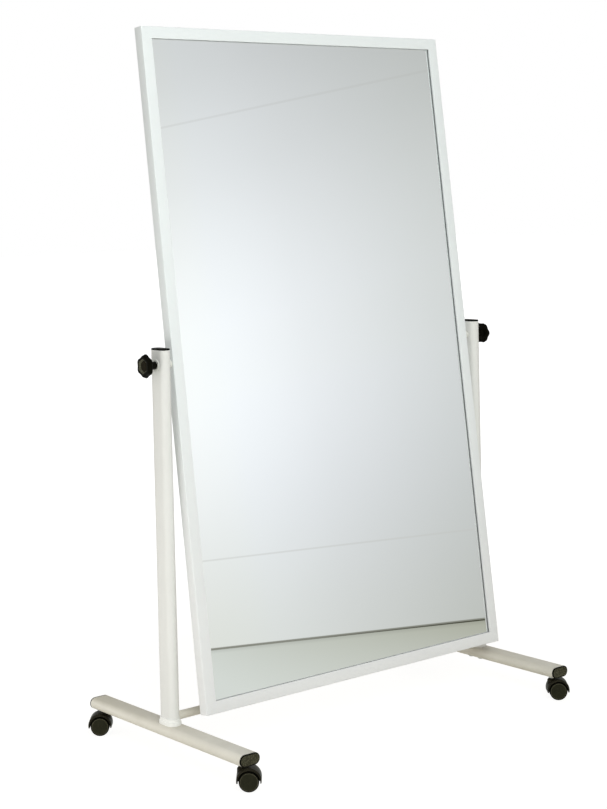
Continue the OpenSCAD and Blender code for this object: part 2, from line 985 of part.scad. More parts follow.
foot(LEFT);  // left_foot
foot(RIGHT);  // right_foot
for (c = CORNERS) foot_plug(c);
post(LEFT);  // left_post
post(RIGHT);  // right_post
post_cap(LEFT);  // left_post_cap
post_cap(RIGHT);  // right_post_cap
base_collar(LEFT);  // left_base_collar
base_collar(RIGHT);  // right_base_collar
base_plugs();
foot_bolts();
foot_washers();
foot_sleeves();
crossbar();
crossbar_spigots();
spigot_grub_screws();
caster_sockets();
caster_stems();
pivot_sleeves();
pivot_spacers();
rail(REAR);  // top_rail
rail(FRONT);  // bottom_rail
stile(LEFT);  // left_stile
stile(RIGHT);  // right_stile
corner_keys();
mirror_glass();
backing_board();
packing_strips();
back_panel();
back_panel_screws();
pivot_blocks();
pivot_block_screws();
clamp_washer(LEFT);  // left_clamp_washer
clamp_washer(RIGHT);  // right_clamp_washer
knob(LEFT);  // left_knob
knob(RIGHT);  // right_knob
stud(LEFT);  // left_stud
stud(RIGHT);  // right_stud
for (c = CORNERS) caster_housing(c);
for (c = CORNERS) axle(c);
for (c = CORNERS) wheel(c, FRONT);
for (c = CORNERS) wheel(c, REAR);
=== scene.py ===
import json
import math

import bmesh
import bpy
from mathutils import Matrix, Vector
from mathutils.geometry import tessellate_polygon


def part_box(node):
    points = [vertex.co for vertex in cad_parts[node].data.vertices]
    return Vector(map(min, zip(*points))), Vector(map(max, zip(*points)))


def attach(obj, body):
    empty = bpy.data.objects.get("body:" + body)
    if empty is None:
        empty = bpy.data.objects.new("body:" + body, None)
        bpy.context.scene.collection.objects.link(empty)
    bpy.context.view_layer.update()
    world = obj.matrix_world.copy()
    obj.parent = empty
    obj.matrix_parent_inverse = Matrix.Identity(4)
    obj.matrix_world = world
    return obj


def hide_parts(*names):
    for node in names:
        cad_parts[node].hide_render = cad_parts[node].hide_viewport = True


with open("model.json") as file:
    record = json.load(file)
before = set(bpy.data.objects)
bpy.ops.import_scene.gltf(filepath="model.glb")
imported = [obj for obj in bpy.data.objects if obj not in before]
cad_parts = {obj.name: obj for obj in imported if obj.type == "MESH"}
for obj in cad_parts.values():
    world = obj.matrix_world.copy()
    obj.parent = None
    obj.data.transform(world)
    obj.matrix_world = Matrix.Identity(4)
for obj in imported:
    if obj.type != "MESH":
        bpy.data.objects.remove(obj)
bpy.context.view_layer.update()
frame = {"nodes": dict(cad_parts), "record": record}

scene = bpy.context.scene
FULL_TURN = 2 * math.pi
SQUARE = ((-1, -1), (1, -1), (1, 1), (-1, 1))


def add_object(name, data):
    thing = bpy.data.objects.new(name, data)
    scene.collection.objects.link(thing)
    return thing


# ---------- camera ----------

# Focal length and principal point in pixels of the photograph
PHOTO_W, PHOTO_H = 607, 809
FOCAL_PX, CENTRE_PX = 1765.71, (303.5, 256.0)
SENSOR_MM, CLIP_END = 36, 100
CAMERA_AT = Vector((-3.08589, -3.67837, 1.46350))
YAW, PITCH, ROLL = (math.radians(a) for a in (39.3156, 2.3438, -1.3173))


def add_camera():
    """Camera at the photographer's place; the lens is shifted down, so that the posts stay upright."""
    ahead = Vector((math.sin(YAW) * math.cos(PITCH), math.cos(YAW) * math.cos(PITCH), -math.sin(PITCH)))
    level = Vector((math.cos(YAW), -math.sin(YAW), 0))
    upward = level.cross(ahead)
    right = math.cos(ROLL) * level + math.sin(ROLL) * upward
    up = -math.sin(ROLL) * level + math.cos(ROLL) * upward
    data = bpy.data.cameras.new("photo_camera")
    data.sensor_width = SENSOR_MM
    data.lens = FOCAL_PX * SENSOR_MM / PHOTO_H
    data.shift_x = (PHOTO_W / 2 - CENTRE_PX[0]) / PHOTO_H
    data.shift_y = (CENTRE_PX[1] - PHOTO_H / 2) / PHOTO_H
    data.clip_end = CLIP_END
    camera = add_object("photo_camera", data)
    turn = Matrix((right, up, -ahead)).transposed()
    camera.matrix_world = Matrix.Translation(CAMERA_AT) @ turn.to_4x4()
    scene.camera = camera


add_camera()
scene.view_settings.view_transform = "Standard"


# ---------- materials ----------

def node_material(name):
    """A material with no nodes yet, and its node tree."""
    material = bpy.data.materials.new(name)
    material.use_nodes = True
    tree = material.node_tree
    tree.nodes.clear()
    return material, tree


def feed(tree, socket, value):
    """Links a socket to another one, or sets it to a number or a colour."""
    if isinstance(value, bpy.types.NodeSocket):
        tree.links.new(value, socket)
    else:
        socket.default_value = value if isinstance(value, (int, float)) else (*value, 1)


def add_node(tree, kind, settings=None, **values):
    """A node with its settings; values feed its inputs by name, with _ for a space."""
    node = tree.nodes.new(kind)
    for key, value in (settings or {}).items():
        setattr(node, key, value)
    for key, value in values.items():
        feed(tree, node.inputs[key.replace("_", " ")], value)
    return node


def end_with(tree, shader, kind="Material"):
    add_node(tree, f"ShaderNodeOutput{kind}", Surface=shader)


def object_place(tree):
    return tree.nodes.new("ShaderNodeTexCoord").outputs["Object"]


def split(tree, vector):
    """X, Y and Z of a vector."""
    return add_node(tree, "ShaderNodeSeparateXYZ", Vector=vector).outputs


def noise(tree, place, scale, detail, roughness=0.5):
    node = add_node(tree, "ShaderNodeTexNoise", Vector=place, Scale=scale, Detail=detail, Roughness=roughness)
    return node.outputs["Fac"]


def ramp(tree, value, low, high, from_low=0.0, from_high=1.0):
    """A value carried from one range to another, held at its ends."""
    node = add_node(
        tree, "ShaderNodeMapRange", Value=value, From_Min=from_low, From_Max=from_high, To_Min=low, To_Max=high)
    return node.outputs["Result"]


def blend_colours(tree, share, first, second, how="MIX"):
    node = add_node(tree, "ShaderNodeMix", {"data_type": "RGBA", "blend_type": how})
    for at, value in ((0, share), (6, first), (7, second)):
        feed(tree, node.inputs[at], value)
    return node.outputs[2]


def calc(tree, how, first, second):
    node = add_node(tree, "ShaderNodeMath", {"operation": how})
    feed(tree, node.inputs[0], first)
    feed(tree, node.inputs[1], second)
    return node.outputs[0]


def weighed(tree, first, by_first, second, by_second, base):
    """Two values, each times its weight, and a base."""
    both = calc(tree, "ADD", calc(tree, "MULTIPLY", first, by_first), calc(tree, "MULTIPLY", second, by_second))
    return calc(tree, "ADD", both, base)


def bumps(tree, layers):
    """Bump layers over each other: each is a height value and its full height in metres."""
    normal = None
    for height, depth in layers:
        node = add_node(tree, "ShaderNodeBump", Height=height, Strength=1.0, Distance=depth)
        if normal is not None:
            tree.links.new(normal, node.inputs["Normal"])
        normal = node.outputs["Normal"]
    return normal


# Parts of a noise's range over which patches, flecks and wear come in, and of an upward slope that takes the painted
# top shade
PATCH_SPAN, FLECK_SPAN, WEAR_SPAN, SLOPE_SPAN = (0.3, 0.7), (0.52, 0.66), (0.35, 0.65), (0.35, 0.95)


def surface(name, pale, dark, patch, rough, grain, speck=None, metal=0.0, level=0.5, painted_top_shade=None, scratch=None,
            low=None):
    """One finish, in metres. pale and dark mix in patches of a size; rough is a range; grain is the fine texture's
    (size, height); speck is a fleck's (size, colour, share); painted_top_shade is painted shade on upward faces: its
    colour and its share (in the middle, more per metre across, more per metre back); scratch is the (size, height) of
    long lines; low is painted shade toward the floor, a darker, warmer tint with none of it above one height and all
    of it below another."""
    material, tree = node_material(name)
    place = object_place(tree)
    clouds = noise(tree, place, 1 / patch, 4, 0.55)
    colour = blend_colours(tree, ramp(tree, clouds, 0, 1, *PATCH_SPAN), pale, dark)
    if speck:
        size, fleck, share = speck
        flecks = ramp(tree, noise(tree, place, 1 / size, 2), 0, share, *FLECK_SPAN)
        colour = blend_colours(tree, flecks, colour, fleck)
    # Painted shade toward the floor: the colour darkens and warms below a height
    if low:
        tint, clear, full = low
        painted_low_shade = ramp(tree, split(tree, place)["Z"], 1, 0, full, clear)
        colour = blend_colours(tree, painted_low_shade, colour, tint, "MULTIPLY")
    # Painted shade on upward faces, deeper toward the back and across
    if painted_top_shade:
        top_shade_tone, (share, across, back) = painted_top_shade
        facing = split(tree, tree.nodes.new("ShaderNodeNewGeometry").outputs["Normal"])
        spot = split(tree, place)
        top_shade_share = ramp(tree, weighed(tree, spot["X"], across, spot["Y"], back, share), 0, 1)
        upward = calc(tree, "MULTIPLY", ramp(tree, facing["Z"], 0, 1, *SLOPE_SPAN), top_shade_share)
        colour = blend_colours(tree, upward, colour, top_shade_tone)
    fine = noise(tree, place, 1 / grain[0], 2)
    layers = [(fine, grain[1])]
    if scratch:
        lines = add_node(tree, "ShaderNodeTexWave", {"wave_type": "BANDS", "bands_direction": "Z"}, Vector=place,
                         Scale=1 / scratch[0], Distortion=6.0, Detail=3.0)
        layers.append((lines.outputs["Fac"], scratch[1]))
    worn = calc(tree, "MULTIPLY", calc(tree, "ADD", clouds, fine), 0.5)
    shader = add_node(
        tree, "ShaderNodeBsdfPrincipled", Base_Color=colour, Metallic=metal, Specular_IOR_Level=level,
        Roughness=ramp(tree, worn, *rough, *WEAR_SPAN), Normal=bumps(tree, layers))
    end_with(tree, shader.outputs[0])
    return material


# The frame's low tint is painted shade, darker and warmer toward the floor
frame_powder = surface(
    "frame_powder_coat", (0.835, 0.872, 0.883), (0.811, 0.848, 0.859), 0.25, (0.34, 0.44), (0.0011, 0.000012),
    speck=(0.0006, (0.72, 0.76, 0.77), 0.25), low=((0.98, 0.94, 0.935), 1.2, 0.1))
post_powder = surface(
    "post_powder_coat", (0.778, 0.778, 0.76), (0.752, 0.752, 0.733), 0.2, (0.38, 0.48), (0.0011, 0.000014),
    speck=(0.0006, (0.70, 0.70, 0.66), 0.3))
# The feet take painted shade on their tops, deeper toward the back and the right
foot_powder = surface(
    "foot_powder_coat", (0.745, 0.716, 0.64), (0.675, 0.647, 0.572), 0.05, (0.42, 0.54), (0.0011, 0.000016),
    speck=(0.0006, (0.60, 0.57, 0.50), 0.35), painted_top_shade=((0.50, 0.465, 0.37), (0.45, 0.25, 1.35)))
collar_plastic = surface(
    "collar_moulded_plastic", (0.86, 0.86, 0.83), (0.83, 0.83, 0.80), 0.05, (0.42, 0.55), (0.0007, 0.00001))
black_plastic = surface(
    "black_moulded_plastic", (0.004, 0.0037, 0.0018), (0.0022, 0.0021, 0.001), 0.012, (0.34, 0.48), (0.0008, 0.00002),
    speck=(0.0008, (0.010, 0.009, 0.005), 0.35), level=0.045)
# Painted sheen: a lighter black for the knobs' field floors
sheen_painted_plastic = surface(
    "black_plastic_painted_sheen", (0.0135, 0.0095, 0.0038), (0.0075, 0.0065, 0.0026), 0.008, (0.36, 0.5), (0.0008, 0.00002),
    speck=(0.0012, (0.03, 0.026, 0.013), 0.4), level=0.06)
# Painted highlight: a lighter olive black for the knobs' field walls
highlight_painted_plastic = surface(
    "black_plastic_painted_highlight", (0.105, 0.103, 0.074), (0.055, 0.054, 0.036), 0.004, (0.5, 0.65), (0.0008, 0.00002),
    speck=(0.0012, (0.14, 0.138, 0.10), 0.5), level=0.1)
plug_plastic = surface(
    "grained_plug_plastic", (0.045, 0.043, 0.023), (0.026, 0.024, 0.012), 0.006, (0.5, 0.66), (0.0009, 0.00005),
    speck=(0.0024, (0.13, 0.122, 0.08), 0.8), level=0.15)
# Painted highlight: a lighter olive line for the wheels' face grooves
groove_highlight_paint = surface(
    "wheel_groove_painted_highlight", (0.068, 0.064, 0.04), (0.035, 0.033, 0.02), 0.004, (0.6, 0.75), (0.0006, 0.00002),
    speck=(0.0012, (0.10, 0.095, 0.062), 0.5), level=0.12)
hood_plastic = surface(
    "hood_moulded_plastic", (0.021, 0.0185, 0.0105), (0.010, 0.0088, 0.005), 0.014, (0.3, 0.44), (0.0009, 0.00002),
    speck=(0.0009, (0.042, 0.038, 0.025), 0.3), level=0.1)
wheel_nylon = surface(
    "wheel_nylon", (0.019, 0.0187, 0.0085), (0.0125, 0.012, 0.0055), 0.02, (0.34, 0.5), (0.0012, 0.000018),
    speck=(0.001, (0.03, 0.03, 0.017), 0.3), level=0.12, scratch=(0.004, 0.000006))
zinc_plate = surface(
    "zinc_plated_steel", (0.60, 0.61, 0.63), (0.48, 0.49, 0.50), 0.006, (0.24, 0.4), (0.0008, 0.000008), metal=1.0,
    scratch=(0.0012, 0.000004))
pale_nylon = surface("pale_nylon", (0.74, 0.74, 0.70), (0.68, 0.68, 0.635), 0.01, (0.42, 0.55), (0.0006, 0.00001))
bare_aluminium = surface(
    "sawn_aluminium", (0.74, 0.75, 0.76), (0.62, 0.63, 0.645), 0.02, (0.3, 0.46), (0.0009, 0.00001), metal=1.0,
    scratch=(0.002, 0.00001))
lacquered_board = surface(
    "lacquered_hardboard", (0.66, 0.655, 0.63), (0.60, 0.595, 0.565), 0.18, (0.45, 0.6), (0.0016, 0.00002),
    speck=(0.003, (0.52, 0.50, 0.46), 0.35))
raw_board = surface(
    "raw_hardboard", (0.33, 0.22, 0.13), (0.25, 0.16, 0.09), 0.05, (0.7, 0.85), (0.0015, 0.00005),
    speck=(0.002, (0.42, 0.30, 0.19), 0.5))


def mirror_material():
    """Silvered float glass: a clean metal face with a breath of haze and faint roller waves."""
    material, tree = node_material("silvered_float_glass")
    place = object_place(tree)
    haze = noise(tree, place, 5.0, 5, 0.6)
    waves = noise(tree, place, 1.6, 1)
    tint = blend_colours(tree, haze, (0.955, 0.972, 0.966), (0.935, 0.956, 0.948))
    shader = add_node(
        tree, "ShaderNodeBsdfPrincipled", Base_Color=tint, Metallic=1.0,
        Roughness=ramp(tree, haze, 0.004, 0.012, *PATCH_SPAN), Normal=bumps(tree, [(waves, 0.00003)]))
    end_with(tree, shader.outputs[0])
    return material


mirror_silver = mirror_material()


# ---------- building pieces ----------

TUBE_LONG, TUBE_SHORT, TUBE_STEPS = 0.060, 0.030, 14


def soften(mesh, sharp):
    """Smooth shading but for edges sharper than an angle in degrees."""
    mesh.shade_smooth()
    mesh.set_sharp_from_angle(angle=math.radians(sharp))


def mesh_piece(name, points, faces, material, sharp=32):
    """A closed mesh with its faces turned outward, sharp at edges above an angle in degrees."""
    mesh = bpy.data.meshes.new(name)
    mesh.from_pydata([tuple(p) for p in points], [], faces)
    work = bmesh.new()
    work.from_mesh(mesh)
    bmesh.ops.remove_doubles(work, verts=work.verts, dist=1e-7)
    bmesh.ops.recalc_face_normals(work, faces=work.faces)
    if work.calc_volume(signed=True) < 0:
        bmesh.ops.reverse_faces(work, faces=work.faces)
    work.to_mesh(mesh)
    work.free()
    mesh.materials.append(material)
    soften(mesh, sharp)
    return add_object(name, mesh)


def loft(rings, looped=False):
    """Points and faces through rings of points; a ring of one point is a tip. A looped loft closes on itself."""
    points, starts = [], []
    for ring in rings:
        starts.append(len(points))
        points.extend(ring)
    faces = []
    count = len(rings)
    for i in range(count if looped else count - 1):
        a, b = rings[i], rings[(i + 1) % count]
        at, bt = starts[i], starts[(i + 1) % count]
        n = max(len(a), len(b))
        for k in range(n):
            j = (k + 1) % n
            if len(a) == 1:
                faces.append((at, bt + j, bt + k))
            elif len(b) == 1:
                faces.append((at + k, at + j, bt))
            else:
                faces.append((at + k, at + j, bt + j, bt + k))
    if not looped:
        for ring, start in ((rings[0], starts[0]), (rings[-1], starts[-1])):
            if len(ring) > 1:
                faces.append(tuple(range(start, start + len(ring))))
    return points, faces


def arc(cx, cy, r, first, last, steps):
    """Points on an arc, angles in degrees."""
    return [(cx + r * math.cos(math.radians(first + (last - first) * i / steps)),
             cy + r * math.sin(math.radians(first + (last - first) * i / steps))) for i in range(steps + 1)]


def oval(grow):
    """Outline of the flat-oval tube, its long side along the first direction, grown all round."""
    r, half = TUBE_SHORT / 2 + grow, (TUBE_LONG - TUBE_SHORT) / 2
    return arc(half, 0, r, -90, 90, TUBE_STEPS) + arc(-half, 0, r, 90, 270, TUBE_STEPS)


def oval_loft(name, levels, place, material, looped=True):
    """A flat-oval piece through levels of (grow, height); place turns (u, v, height) into the row frame."""
    rings = [[place(u, v, h) for u, v in oval(grow)] for grow, h in levels]
    return mesh_piece(name, *loft(rings, looped), material)


def turned(name, profile, place, material, looped=False, steps=64, sharp=32):
    """A turned piece: profile of (radius, height); place turns (x, y, height) into the row frame."""
    rings = []
    for r, h in profile:
        if r < 1e-9:
            rings.append([place(0, 0, h)])
        else:
            rings.append([place(r * math.cos(FULL_TURN * k / steps), r * math.sin(FULL_TURN * k / steps), h)
                          for k in range(steps)])
    return mesh_piece(name, *loft(rings, looped), material, sharp)


def bake(piece, used_up):
    """Gives the piece the mesh that its modifiers make of it, and removes the object that they used."""
    bpy.context.view_layer.update()
    seen = piece.evaluated_get(bpy.context.evaluated_depsgraph_get())
    result = bpy.data.meshes.new_from_object(seen)
    piece.modifiers.clear()
    piece.data = result
    soften(result, 30)
    bpy.data.objects.remove(used_up)


def combine(piece, other, how):
    """Joins, cuts or trims a piece with another, which is used up."""
    step = piece.modifiers.new("step", "BOOLEAN")
    step.operation, step.object, step.solver = how, other, "EXACT"
    bake(piece, other)


def refinish(piece, finish, chosen):
    """Gives another finish to the faces that pass a test of their middle and their normal."""
    piece.data.materials.append(finish)
    for face in piece.data.polygons:
        if chosen(face.center, face.normal):
            face.material_index = len(piece.data.materials) - 1


def fit_out(piece, body, finish_slot, *nodes):
    """The piece stands for CAD nodes, which it hides, and moves with a body; finish_slot is not used."""
    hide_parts(*nodes)
    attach(piece, body)


def joint_place(name):
    """Where a joint lies, by the record."""
    return next(Vector(row["pos_m"]) for row in frame["record"]["behaviour"]["joints"] if row["name"] == name)


def extent(node):
    low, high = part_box(node)
    return Vector(low), Vector(high)


# ---------- stand ----------

SIDES = (("left", -1), ("right", 1))
ENDS = (("front", -1), ("rear", 1))
CORNERS = [(f"{end}_{side}", sx, sy) for side, sx in SIDES for end, sy in ENDS]
TUBE_WALL, TUBE_SLACK, RIM = 0.002, 0.0001, 0.0003
TUBE_GROW_IN = -TUBE_WALL - TUBE_SLACK
# A tube plug's rounded edge, the rim round its field, where the field begins and how deep it is sunk
PLUG_ROUND, PLUG_RIM, PLUG_FIELD, PLUG_SUNK = 0.0012, 0.0022, 0.0027, 0.0003
SHANK_TAPER, SHANK_LEAD = 0.0008, 0.001

post_low, post_high = extent("left_post")
foot_low, foot_high = extent("left_foot")
POST_X, POST_TOP = -(post_low.x + post_high.x) / 2, post_high.z
FOOT_TOP, FOOT_MID, FOOT_HALF = foot_high.z, (foot_low.z + foot_high.z) / 2, foot_high.y
PIVOT = joint_place("panel_tilt")


def up_post(sx):
    return lambda u, v, h: Vector((sx * POST_X + v, u, h))


def along_foot(sx):
    return lambda u, v, h: Vector((sx * POST_X + u, h, FOOT_MID + v))


def tube_levels(start, end):
    """A tube from one height to another, with its rims just broken."""
    inner = -TUBE_WALL
    return [(-RIM, start), (0, start + RIM), (0, end - RIM), (-RIM, end),
            (inner + RIM, end), (inner, end - RIM), (inner, start + RIM), (inner + RIM, start)]


def plug_levels(height, depth):
    """A tube plug: shank below 0, head above, with a rounded edge and a slightly sunk field."""
    head = [(-PLUG_ROUND + a, height - PLUG_ROUND + b) for a, b in arc(0, 0, PLUG_ROUND, 0, 90, 5)]
    return ([(TUBE_GROW_IN - SHANK_TAPER, -depth), (TUBE_GROW_IN, -depth + SHANK_LEAD), (TUBE_GROW_IN, 0), (-RIM, 0),
             (0, RIM)] + head + [(-PLUG_RIM, height), (-PLUG_FIELD, height - PLUG_SUNK)])


for side, sx in SIDES:
    post = oval_loft(f"{side}_post_tube", tube_levels(post_low.z, POST_TOP), up_post(sx), post_powder)
    fit_out(post, "stand", "stand_white", f"{side}_post")
    foot = oval_loft(f"{side}_foot_tube", tube_levels(-FOOT_HALF, FOOT_HALF), along_foot(sx), foot_powder)
    fit_out(foot, "stand", "feet_white", f"{side}_foot")
    cap_low, cap_high = extent(f"{side}_post_cap")
    levels = plug_levels(cap_high.z - POST_TOP, POST_TOP - cap_low.z)
    place = up_post(sx)
    cap = oval_loft(
        f"{side}_post_end_cap", levels, lambda u, v, h: place(u, v, POST_TOP + h), black_plastic, looped=False)
    fit_out(cap, "stand", "black_plastic", f"{side}_post_cap")

for corner, sx, sy in CORNERS:
    node = f"{corner}_foot_plug"
    shank_end, head_end = sorted(abs(end.y) for end in extent(node))
    place = along_foot(sx)
    plug = oval_loft(
        f"{corner}_foot_end_plug", plug_levels(head_end - FOOT_HALF, FOOT_HALF - shank_end),
        lambda u, v, h: place(u, v, sy * (FOOT_HALF + h)), black_plastic, looped=False)
    field_at = head_end - PLUG_SUNK / 2
    refinish(plug, plug_plastic, lambda c, n: n.y * sy > 0.9 and FOOT_HALF + SHANK_LEAD < abs(c.y) < field_at)
    fit_out(plug, "stand", "black_plastic", node)

# Collars: two soft steps, cut away over the foot and round the crossbar
COLLAR_WALL, COLLAR_STEP, COLLAR_LOW = 0.005, 0.0022, 0.0085
STEP_ROUND, STEP_SOFT, TOP_ROUND, SINK, CUT_REACH = 0.0009, 0.0004, 0.0008, 0.0005, 0.06
bar_low, bar_high = extent("crossbar")
BAR_R, BAR_Z = (bar_high.z - bar_low.z) / 2, (bar_high.z + bar_low.z) / 2
for side, sx in SIDES:
    low, high = extent(f"{side}_base_collar")
    upper = COLLAR_WALL - COLLAR_STEP
    step_z = FOOT_TOP + COLLAR_LOW
    levels = [(COLLAR_WALL, low.z - SINK)]
    levels += arc(COLLAR_WALL - STEP_ROUND, step_z - STEP_ROUND, STEP_ROUND, 0, 90, 4)
    levels += [(upper + RIM, step_z), (upper, step_z + STEP_SOFT)]
    levels += arc(upper - TOP_ROUND, high.z - TOP_ROUND, TOP_ROUND, 0, 90, 4)
    levels += [(TUBE_SLACK, high.z), (TUBE_SLACK, low.z - SINK)]
    collar = oval_loft(f"{side}_collar", levels, up_post(sx), collar_plastic)
    foot_space = oval_loft(
        "foot_space", [(TUBE_SLACK / 2, -CUT_REACH), (TUBE_SLACK / 2, CUT_REACH)], along_foot(sx), collar_plastic,
        looped=False)
    combine(collar, foot_space, "DIFFERENCE")
    bar_space = turned(
        "bar_space", [(0, 0), (BAR_R + TUBE_SLACK, 0), (BAR_R + TUBE_SLACK, CUT_REACH), (0, CUT_REACH)],
        lambda x, y, h: Vector((sx * (POST_X - h), x, BAR_Z + y)), collar_plastic)
    combine(collar, bar_space, "DIFFERENCE")
    fit_out(collar, "stand", "collar_white", f"{side}_base_collar")


def along_x(x0, way, y, z):
    """Place for turned pieces that lie along X from x0."""
    return lambda a, b, h: Vector((x0 + way * h, y + a, z + b))


BAR_HALF, BAR_INNER = bar_high.x, BAR_R - 0.0015
crossbar = turned(
    "crossbar_tube", [(BAR_R - RIM, 0), (BAR_R, RIM), (BAR_R, 2 * BAR_HALF - RIM), (BAR_R - RIM, 2 * BAR_HALF),
                      (BAR_INNER, 2 * BAR_HALF), (BAR_INNER, 0)],
    along_x(-BAR_HALF, 1, 0, BAR_Z), foot_powder, looped=True)
fit_out(crossbar, "stand", "feet_white", "crossbar")


def ring_profile(outer, inner, length, edge):
    """Half section of a washer or sleeve with its edges broken."""
    return [(inner, edge / 2), (inner + edge / 2, 0), (outer - edge, 0), (outer, edge), (outer, length - edge),
            (outer - edge, length), (inner + edge / 2, length), (inner, length - edge / 2)]


def joined(name, pieces):
    """Several pieces as one."""
    work = bmesh.new()
    for piece in pieces:
        work.from_mesh(piece.data)
    mesh = bpy.data.meshes.new(name)
    work.to_mesh(mesh)
    work.free()
    mesh.materials.append(pieces[0].data.materials[0])
    for piece in pieces:
        bpy.data.objects.remove(piece)
    return add_object(name, mesh)


spacer_low, spacer_high = extent("pivot_spacers")
SPACER_R = (spacer_high.z - spacer_low.z) / 2
SPACER_LEN, SPACER_EDGE, STUD_BORE = 0.0129, 0.0008, 0.00505
POST_HALF = 0.015
POST_INNER, POST_OUTER = POST_X - POST_HALF, POST_X + POST_HALF
spacers = joined("tilt_spacers", [
    turned(f"{side}_spacer", ring_profile(SPACER_R, STUD_BORE, SPACER_LEN, SPACER_EDGE),
           along_x(sx * POST_INNER, -sx, PIVOT.y, PIVOT.z), pale_nylon, looped=True, steps=48) for side, sx in SIDES])
fit_out(spacers, "stand", "pale_nylon", "pivot_spacers")


# ---------- clamps ----------

KNOB_R, KNOB_LOBES, KNOB_STEPS = 0.0305, 6, 144
SCALLOP_R, SCALLOP_DEPTH, BEYOND_SCALLOP, CORNER_SOFT = 0.030, 0.003, 0.6, 0.0036
NECK_R, NECK_EDGE, NECK_FILLET, NECK_FLARE = 0.010, 0.0006, 0.005, 0.0065
HEAD_AT, HEAD_T, HEAD_TAPER, HEAD_ROUND = 0.028, 0.0125, 0.003, 0.003
CROWN_ROUND, CROWN_EDGE, MIDDLE_R, MIDDLE_RISE = 0.0022, 0.0028, 0.004, 0.0007
# The head has a flat rim round a dished field; shares are of its radius
RIM_SHARE, FIELD_SHARE, FIELD_SUNK = 0.62, 0.45, 0.0042
# Rings from the crown's edge to the middle: share of the head's radius, and depth below the rim
CROWN_RINGS = (
    (0.90, 0), (RIM_SHARE + 0.02, 0), (RIM_SHARE, 0.0004), (FIELD_SHARE + 0.02, FIELD_SUNK - 0.0005),
    (FIELD_SHARE, FIELD_SUNK), (0.3, FIELD_SUNK - 0.0003), (0.15, FIELD_SUNK - 0.0006))
WASHER_T, WASHER_R, WASHER_BORE, WASHER_EDGE = 0.0025, 0.0145, 0.0051, 0.0005
FIRST_LOBE = {"left": 0.0, "right": 90.0}


def soft_least(a, b, width):
    """The lesser of two lengths, rounded over where they are nearly alike."""
    h = max(0.0, width - abs(a - b)) / width
    return min(a, b) - h * h * width / 4


def lobe_radius(angle):
    """Radius of the knob's outline: a circle with hollows, their corners well rounded."""
    pitch = FULL_TURN / KNOB_LOBES
    off = (angle + pitch) % pitch - pitch / 2
    centre = KNOB_R - SCALLOP_DEPTH + SCALLOP_R
    reach = SCALLOP_R ** 2 - (centre * math.sin(off)) ** 2
    if reach <= 0:
        hollow = centre * math.cos(off) + BEYOND_SCALLOP * (abs(off) - math.asin(SCALLOP_R / centre)) * centre
    else:
        hollow = centre * math.cos(off) - math.sqrt(reach)
    return soft_least(KNOB_R, hollow, CORNER_SOFT)


def knob_rings(side, sx):
    """Rings of the knob from the neck's end to the middle of the crown, in the row frame."""
    start = math.radians(FIRST_LOBE[side])
    angles = [FULL_TURN * k / KNOB_STEPS for k in range(KNOB_STEPS)]
    outline = [lobe_radius(a - start) for a in angles]

    def ring(h, radii):
        # Height runs outward along X; angle 0 points down on the right and up on the left
        return [Vector((sx * (POST_OUTER + h), PIVOT.y + r * math.sin(a), PIVOT.z - sx * r * math.cos(a)))
                for a, r in zip(angles, radii)]

    neck = [(WASHER_T, NECK_R - NECK_EDGE), (WASHER_T + NECK_EDGE, NECK_R), (HEAD_AT - NECK_FILLET, NECK_R)]
    neck += [(HEAD_AT - NECK_FILLET + b, NECK_R + a) for a, b in arc(NECK_FILLET, 0, NECK_FILLET, 180, 110, 5)]
    neck.append((HEAD_AT, NECK_R + NECK_FLARE))
    rings = [ring(h, [r] * KNOB_STEPS) for h, r in neck]
    for a, b in arc(0, 0, 1, -90, 0, 6):
        rings.append(ring(HEAD_AT + HEAD_ROUND * (1 + b), [r - HEAD_ROUND * (1 - a) for r in outline]))
    top = HEAD_AT + HEAD_T
    for a, b in arc(0, 0, 1, 0, 75, 6):
        rings.append(ring(top - CROWN_ROUND * (1 - b), [r - HEAD_TAPER - CROWN_EDGE * (1 - a) for r in outline]))
    for share, sunk in CROWN_RINGS:
        rings.append(ring(top - sunk, [(r - HEAD_TAPER) * share + (1 - share) * MIDDLE_R for r in outline]))
    rings.append([Vector((sx * (POST_OUTER + top - FIELD_SUNK + MIDDLE_RISE), PIVOT.y, PIVOT.z))])
    return rings


for side, sx in SIDES:
    knob = mesh_piece(f"{side}_clamp_knob", *loft(knob_rings(side, sx)), black_plastic, sharp=50)
    field_r, rim_r = ((KNOB_R - HEAD_TAPER) * share + 0.0025 for share in (FIELD_SHARE, RIM_SHARE))
    head_x = POST_OUTER + HEAD_AT + HEAD_T / 2

    def off_axis(point):
        return math.hypot(point.y - PIVOT.y, point.z - PIVOT.z)

    def faces_axis(point, normal):
        return normal.y * (point.y - PIVOT.y) + normal.z * (point.z - PIVOT.z) < 0

    # The field's sloping wall takes a painted highlight
    refinish(knob, highlight_painted_plastic, lambda c, n: abs(c.x) > head_x and 0 < n.x * sx < 0.85 and
             field_r - 0.003 < off_axis(c) < rim_r and faces_axis(c, n))
    # The field's floor takes a painted sheen
    refinish(knob, sheen_painted_plastic, lambda c, n: abs(c.x) > head_x and n.x * sx >= 0.85 and off_axis(c) < field_r)
    fit_out(knob, f"{side}_knob", "black_plastic", f"{side}_knob")
    washer = turned(
        f"{side}_knob_washer", ring_profile(WASHER_R, WASHER_BORE, WASHER_T, WASHER_EDGE),
        along_x(sx * POST_OUTER, sx, PIVOT.y, PIVOT.z), pale_nylon, looped=True)
    fit_out(washer, f"{side}_washer", "pale_nylon", f"{side}_clamp_washer")


# ---------- mirror panel ----------

